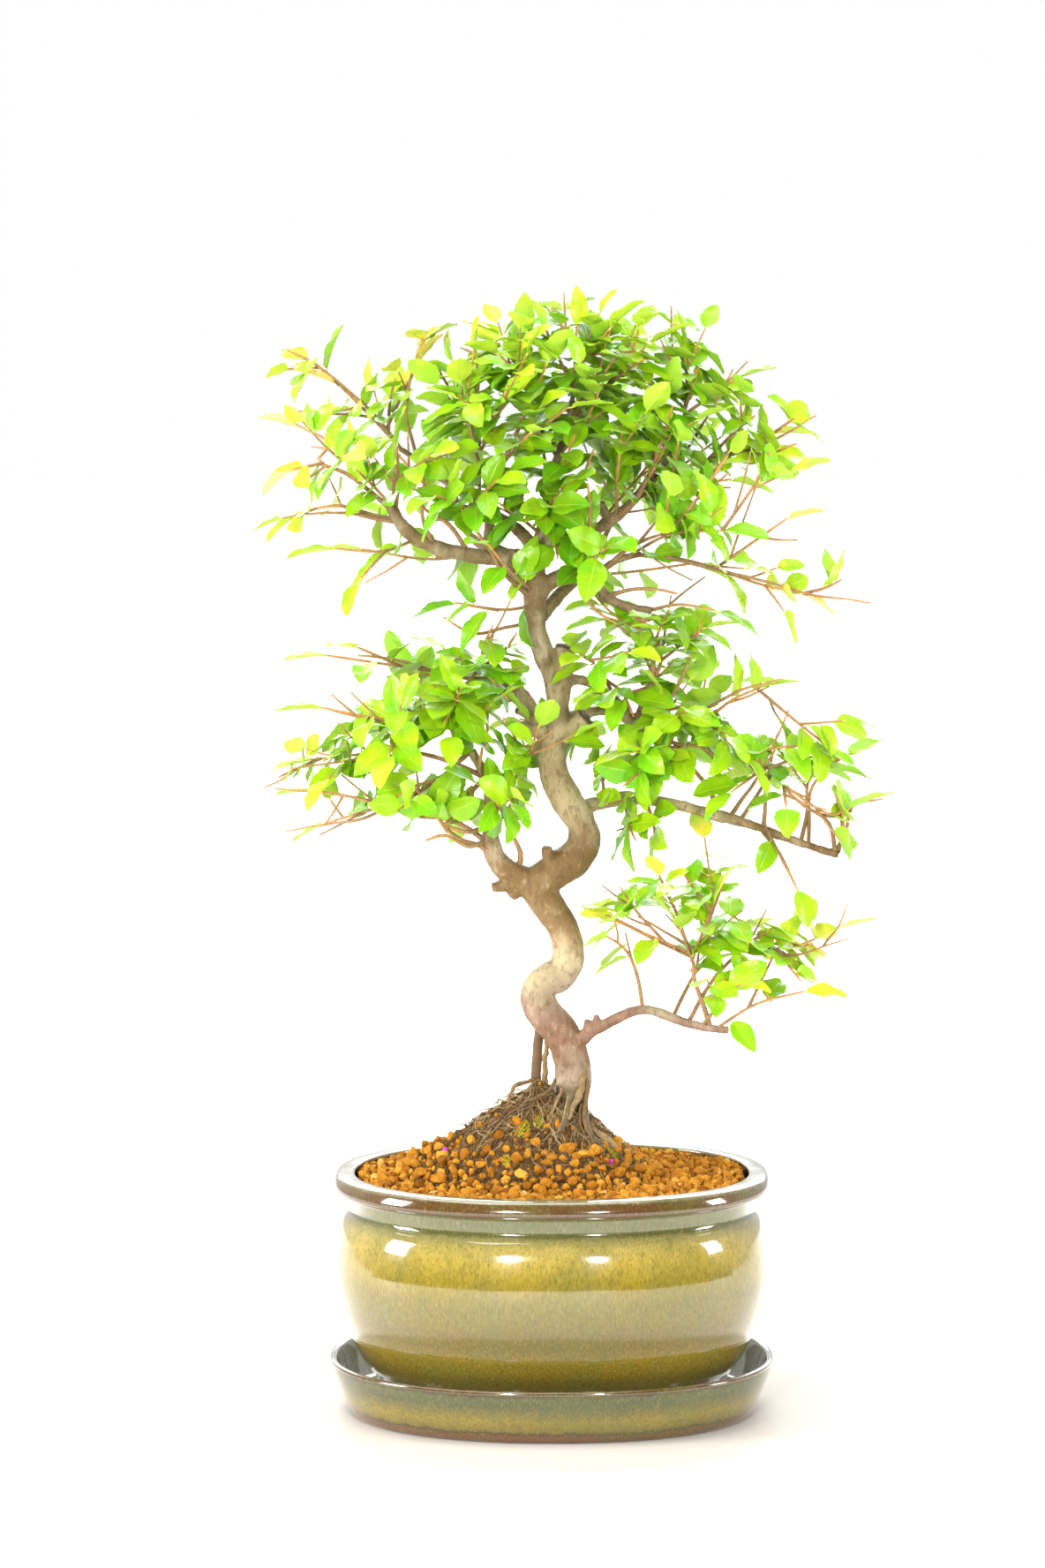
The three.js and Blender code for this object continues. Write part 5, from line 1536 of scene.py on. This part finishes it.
def solid_leaves(spray, index):
    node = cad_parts[spray["name"]]
    corners = np.array([vertex.co for vertex in node.data.vertices]) / MM
    leaves = []
    for shoot, curve in enumerate(spray["curves"][:spray["own"]]):
        shares = leaf_places(curve, bare_start(spray, shoot))
        for k, share in enumerate(shares):
            rank = 0 if k == len(shares) - 1 else (1 if k % 2 == 0 else -1)
            seed = 1000 * (index + 1) + 100 * shoot + k
            leaf = kept_leaf(curve, share, rank, spray["heart"], seed, corners)
            if leaf:
                leaves.append(leaf._replace(tone=leaf_tone(spray, share, leaf.foot, draws_from(seed + 13))))
    return leaves


def leaf_tone(spray, share, foot, draw, fresher=0.0):
    """0 is an old deep green leaf, 1 a new peach one."""
    out = min(1.0, max(0.0, (np.linalg.norm(foot - spray["heart"]) - 30) / 55))
    base = 0.10 + 0.34 * draw(0, 1) + 0.20 * out + (0.1 if spray["group"] != "crown" else 0.0)
    tip = max(0.0, share - 0.55) / 0.45
    return min(1.0, base + 0.46 * spray["young"] * tip + 0.12 * spray["young"] + fresher)


def clearest(candidates, crowd, spots_of, least):
    """The candidate with the most room, or None if none has enough."""
    best, best_room = None, least
    for candidate in candidates:
        spots = spots_of(candidate)
        if in_box(spots):
            room = crowd.room(spots)
            if room > best_room:
                best, best_room = candidate, room
    return best


def extra_leaf(curve, share, rank, spray, draw, lengths, tone, crowd):
    """A leaf that only the scene has: the clearest of several draws, if there is room for one."""
    if draw(0, 1) > spray["full"]:
        return
    foot = curve.at(share)
    along = curve.direction(share)
    outward = unit(foot - spray["heart"])
    candidates = []
    for _ in range(LEAF_CHOICES):
        up = np.array([draw(-0.5, 0.5), draw(-0.6, 0.4), draw(0.1, 0.8)]) + EXTRA_OUTWARD * outward
        side = unit(np.cross(along, up))
        reach = along * (1 if rank == 0 else draw(0.2, 0.7)) + side * rank * draw(0.6, 1.0)
        reach = reach + np.array([0, 0, -draw(-0.1, 0.5)])
        length = draw(*lengths) * (1 - 0.9 * max(0.0, tone - 0.6))
        leaf = leaf_of(foot, reach, up, length, draw(*EXTRA_WIDTH), tone, draw(0, 6.28),
                       draw(*EXTRA_RISE), draw(*EXTRA_DROOP))
        candidates.append(leaf)
    candidates = [leaf for leaf in candidates if not in_open_place(leaf_spots(leaf))]
    leaf = clearest(candidates, crowd, leaf_spots, LEAF_ROOM)
    if leaf:
        crowd.add(leaf_spots(leaf), LEAF_REACH)
        spray["leaves"].append(leaf)


def add_shoot_leaves(spray, index, crowd):
    """Leaves opposite the solid's own, and between them."""
    for shoot, curve in enumerate(spray["curves"]):
        draw = draws_from(77000 + 100 * index + shoot)
        shares = leaf_places(curve, bare_start(spray, shoot))
        for k, share in enumerate(shares[:-1]):
            rank = 1 if k % 2 == 0 else -1
            middle = (share + shares[k + 1]) / 2
            for place, side in ((share, -rank), (middle, 1), (middle, -1)):
                tone = leaf_tone(spray, place, curve.at(place), draw)
                extra_leaf(curve, place, side, spray, draw, EXTRA_LEAF_LENGTH, tone, crowd)


def side_twig(curve, share, rank, spray, draw, length):
    foot = curve.at(share)
    along = curve.direction(share)
    outward = unit(foot - spray["heart"])
    up = np.array([draw(-0.5, 0.5), draw(-0.5, 0.5), draw(0.2, 0.9)]) + 0.6 * outward
    side = unit(np.cross(along, up))
    way = unit(along * draw(0.3, 0.9) + side * rank * draw(0.5, 1.0) + unit(up) * draw(-0.2, 0.8))
    bend = np.array([draw(-0.2, 0.2), draw(-0.2, 0.2), draw(-0.1, 0.35)]) + 0.15 * outward
    middle = foot + way * length * 0.5 + bend * length * 0.1
    tip = foot + way * length + bend * length * 0.45
    return Curve([foot, middle, tip], SIDE_TWIG_RADIUS)


def twig_spots(twig):
    return [twig.at(0.5), twig.at(0.75), twig.at(1)]


def add_side_twigs(spray, index, crowd):
    for shoot, curve in enumerate(spray["curves"]):
        draw = draws_from(55000 + 100 * index + shoot)
        bare = spray["bare"] * 0.75 if shoot == 0 else LEAF_BARE_START * 0.7
        for k in range(int((curve.length - bare) / SIDE_TWIG_SPACING)):
            share = (bare + SIDE_TWIG_SPACING * (k + draw(0.1, 0.6))) / curve.length
            if draw(0, 1) > 1.4 * spray["full"]:
                continue
            rank = 1 if (k + shoot) % 2 == 0 else -1
            length = draw(*SIDE_TWIG_LENGTH) * (1 - 0.35 * share)
            candidates = [side_twig(curve, share, rank, spray, draw, length) for _ in range(TWIG_CHOICES)]
            twig = clearest(candidates, crowd, twig_spots, SIDE_TWIG_ROOM)
            if twig:
                spray["twigs"].append((twig, share))
                crowd.add([twig.at(0.4), twig.at(0.7), twig.at(1)], 0.5)
                add_twig_leaves(spray, twig, share, draw, crowd)


def add_twig_leaves(spray, twig, share, draw, crowd):
    """Pairs of leaves along a side twig, and one at its tip."""
    leafy = twig.length - SIDE_TWIG_BARE
    count = max(1, round(leafy / SIDE_LEAF_SPACING))
    for k in range(count):
        place = (SIDE_TWIG_BARE + leafy * k / count) / twig.length
        for rank in (1, -1):
            tone = leaf_tone(spray, max(share, 0.6 * place), twig.at(place), draw, 0.05 * place)
            extra_leaf(twig, place, rank, spray, draw, SIDE_LEAF_LENGTH, tone, crowd)
    tone = leaf_tone(spray, max(share, 0.75), twig.at(1), draw, 0.07)
    extra_leaf(twig, LAST_LEAF_SHARE, 0, spray, draw, SIDE_LEAF_LENGTH, tone, crowd)


def blade_template():
    """Shares, across places and faces of one leaf's blade: its top, its underside and its edge."""
    shares = BLADE_START + (1 - BLADE_START) * np.linspace(0, 1, BLADE_ROWS + 1)
    columns = len(BLADE_COLUMNS)
    share, across = np.meshgrid(shares, BLADE_COLUMNS, indexing="ij")
    share, across = share.ravel(), across.ravel()
    half = len(share)
    faces = []
    for row in range(BLADE_ROWS):
        for column in range(columns - 1):
            a = row * columns + column
            quad = (a, a + columns, a + columns + 1, a + 1)
            faces.append(quad)
            faces.append(tuple(corner + half for corner in reversed(quad)))
    rim = [row * columns for row in range(BLADE_ROWS + 1)]
    rim += [BLADE_ROWS * columns + column for column in range(1, columns)]
    rim += [row * columns + columns - 1 for row in reversed(range(BLADE_ROWS))]
    rim += list(reversed(range(1, columns - 1)))
    for a, b in zip(rim, rim[1:] + rim[:1]):
        faces.append((a, a + half, b + half, b))
    return share, across, faces


BLADE_SHARE, BLADE_ACROSS, BLADE_FACES = blade_template()


def blade_points(leaf):
    """The blade with saw-toothed edges, a ripple, a twist and a thin body."""
    share, across = BLADE_SHARE, BLADE_ACROSS
    teeth = 1 + 0.035 * np.where(np.round(share * 2 * BLADE_ROWS) % 4 < 2, 1, -1) * (np.abs(across) > 0.9)
    width = blade_width(share) * leaf.width / 2 * teeth
    ripple = 0.02 * leaf.length * np.sin(share * 13 + leaf.phase + across * 1.5) * np.abs(across)
    height = np.abs(across) ** 0.85 * 2 * width * leaf.fold - share ** 2 * leaf.droop * leaf.length + ripple
    height = height + 0.25 * math.sin(leaf.phase) * share ** 2 * across * width
    thickness = 0.15 * (1.15 - np.abs(across))
    place = leaf.foot + np.outer(share * leaf.length, leaf.forward) + np.outer(across * width, leaf.side)
    top = place + np.outer(height + thickness, leaf.normal)
    under = place + np.outer(height - thickness, leaf.normal)
    return np.concatenate([top, under])


def add_leaf(shape, leaf):
    blade = np.zeros((2 * len(BLADE_SHARE), 3))
    blade[:, 0] = np.tile(BLADE_SHARE, 2)
    blade[:, 1] = np.tile(BLADE_ACROSS, 2)
    blade[len(BLADE_SHARE):, 2] = 1
    shape.add(blade_points(leaf), BLADE_FACES, tone=leaf.tone, blade=blade)
    path = [leaf.foot + leaf.forward * share * leaf.length - leaf.normal * 0.12 for share in (0, 0.08, 0.2)]
    shape.add(*tube(path, PETIOLE_RADII, 4), tone=min(1, leaf.tone + 0.25))


def make_spray(spray, slot, leaf_material, twig_material):
    shape = Shape()
    for curve in spray["curves"]:
        shares, path = curve.samples(max(5, int(curve.length / 3)))
        radii = curve.uneven_radii(shares, path, 0.12, 3, 1.2, SHOOT_SLIMNESS)
        radii[-1] = SHOOT_TIP_RADIUS
        tone = np.repeat(np.linspace(0.25, 1, len(path)), SHOOT_SIDES)
        shape.add(*tube(path, radii, SHOOT_SIDES), paint=1, tone=tone)
    for twig, share in spray["twigs"]:
        path = [twig.at(step / SIDE_TWIG_STEPS) for step in range(SIDE_TWIG_STEPS + 1)]
        radii = np.linspace(*SIDE_TWIG_RADIUS, len(path))
        shape.add(*tube(path, radii, SIDE_TWIG_SIDES), paint=1, tone=0.35 + 0.5 * share)
    for leaf in spray["leaves"]:
        add_leaf(shape, leaf)
    shape.piece(f"{spray['name']}_foliage", [leaf_material, twig_material], slot, [spray["name"]])


def wood_crowd():
    crowd = Crowd()
    for points in [TRUNK_LINE, *BRANCHES.values(), *STUBS]:
        curve = Curve(points)
        for step in range(int(curve.length / 2) + 1):
            share = curve.share_at(min(1, 2 * step / curve.length))
            crowd.add(curve.point(share), curve.radius(share) + 0.5)
    return crowd


def make_foliage():
    plan_sprays()
    crowd = wood_crowd()
    for spray in SPRAYS:
        for leaf in spray["leaves"]:
            crowd.add(leaf_spots(leaf), LEAF_REACH)
    for index, spray in enumerate(SPRAYS):
        add_shoot_leaves(spray, index, crowd)
        add_side_twigs(spray, index, crowd)
    blades = {"leaf": leaf_green("leaf", 0.0), "young_leaf": leaf_green("young_leaf", 0.08)}
    twig = twig_bark()
    for spray in SPRAYS:
        slot = "young_leaf" if spray["group"] == "low_right" else "leaf"
        make_spray(spray, slot, blades[slot], twig)


# The studio

def make_floor():
    """A pale table top: round in front, wide behind, and glowing white away from the tray."""
    angles = np.linspace(math.pi, 2 * math.pi, 49)
    outline = [(TABLE_RADIUS * math.cos(angle), TABLE_RADIUS * math.sin(angle), 0) for angle in angles]
    outline += TABLE_BACK
    mesh = bpy.data.meshes.new("studio_floor")
    mesh.from_pydata(outline, [], [tuple(range(len(outline)))])
    look = Look("studio_floor", Roughness=0.6, Specular_IOR_Level=0.2, Emission_Color=(1, 0.98, 0.95, 1))
    look.set("Base Color", look.ramp(look.noise(400), "0.3 0.55 0.515 0.465, 0.7 0.56 0.525 0.48"))
    parts = look.parts(look.place())
    across = look.math("POWER", look.math("MULTIPLY", parts["X"], 0.88), 2.0)
    away = look.math("SQRT", look.math("ADD", across, look.math("POWER", parts["Y"], 2.0)))
    start, end, strength = FLOOR_GLOW
    look.set("Emission Strength", look.span(away, start, end, 0.0, strength))
    mesh.materials.append(look.material)
    floor = add_object("studio_floor", mesh)
    floor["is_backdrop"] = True


def make_lights():
    for name, place, size, watts, colour in LAMPS:
        light = bpy.data.lights.new(name, "AREA")
        light.shape = "RECTANGLE"
        light.size, light.size_y = size
        light.energy = watts
        light.color = colour
        lamp = add_object(name, light)
        lamp.location = place
        lamp.rotation_euler = (Vector(LIGHT_TARGET) - Vector(place)).to_track_quat("-Z", "Y").to_euler()
        lamp.visible_camera = False


def make_world():
    """A white studio whose front looks dim in the glaze, so that the glaze keeps its depth."""
    world = bpy.data.worlds.new("studio")
    bpy.context.scene.world = world
    world.use_nodes = True
    nodes = Nodes(world.node_tree)
    background = nodes.tree.nodes["Background"]
    background.inputs["Color"].default_value = (1, 1, 1, 1)
    rays = nodes.node("LightPath").outputs
    away = nodes.parts(nodes.node("TexCoord").outputs["Generated"])["Y"]
    depth = nodes.span(away, -0.45, 0.35, 0.1, 0.85)
    soft = nodes.math("MULTIPLY", rays["Is Diffuse Ray"], SOFT_LIGHT)
    brighter = nodes.math("MAXIMUM", depth, soft)
    strength = nodes.math("MAXIMUM", brighter, rays["Is Camera Ray"])
    nodes.tree.links.new(strength, background.inputs["Strength"])
    bpy.context.scene.view_settings.view_transform = "Standard"


def make_camera():
    camera = bpy.data.cameras.new("camera")
    camera.sensor_fit = "VERTICAL"
    camera.sensor_height = CAMERA_SENSOR
    camera.lens = CAMERA_LENS
    holder = add_object("camera", camera)
    holder.location = CAMERA_PLACE
    holder.rotation_euler = (math.radians(90 - CAMERA_FALL), 0, 0)
    bpy.context.scene.camera = holder


make_camera()
make_lights()
make_world()
make_floor()
make_tray(tray_glaze())
make_pot(pot_glaze())
dress_drain_meshes(mesh_plastic())
clay = baked_clay()
make_bed(clay, bead_pink())
make_mound(old_soil(), root_bark(), moss_green(), clay)
make_trunk(bark())
make_twigs(twig_bark())
make_foliage()

boxes = {"cad": CAD_BOX, "visual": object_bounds()}
{name: [list(corner) for corner in box] for name, box in boxes.items()}
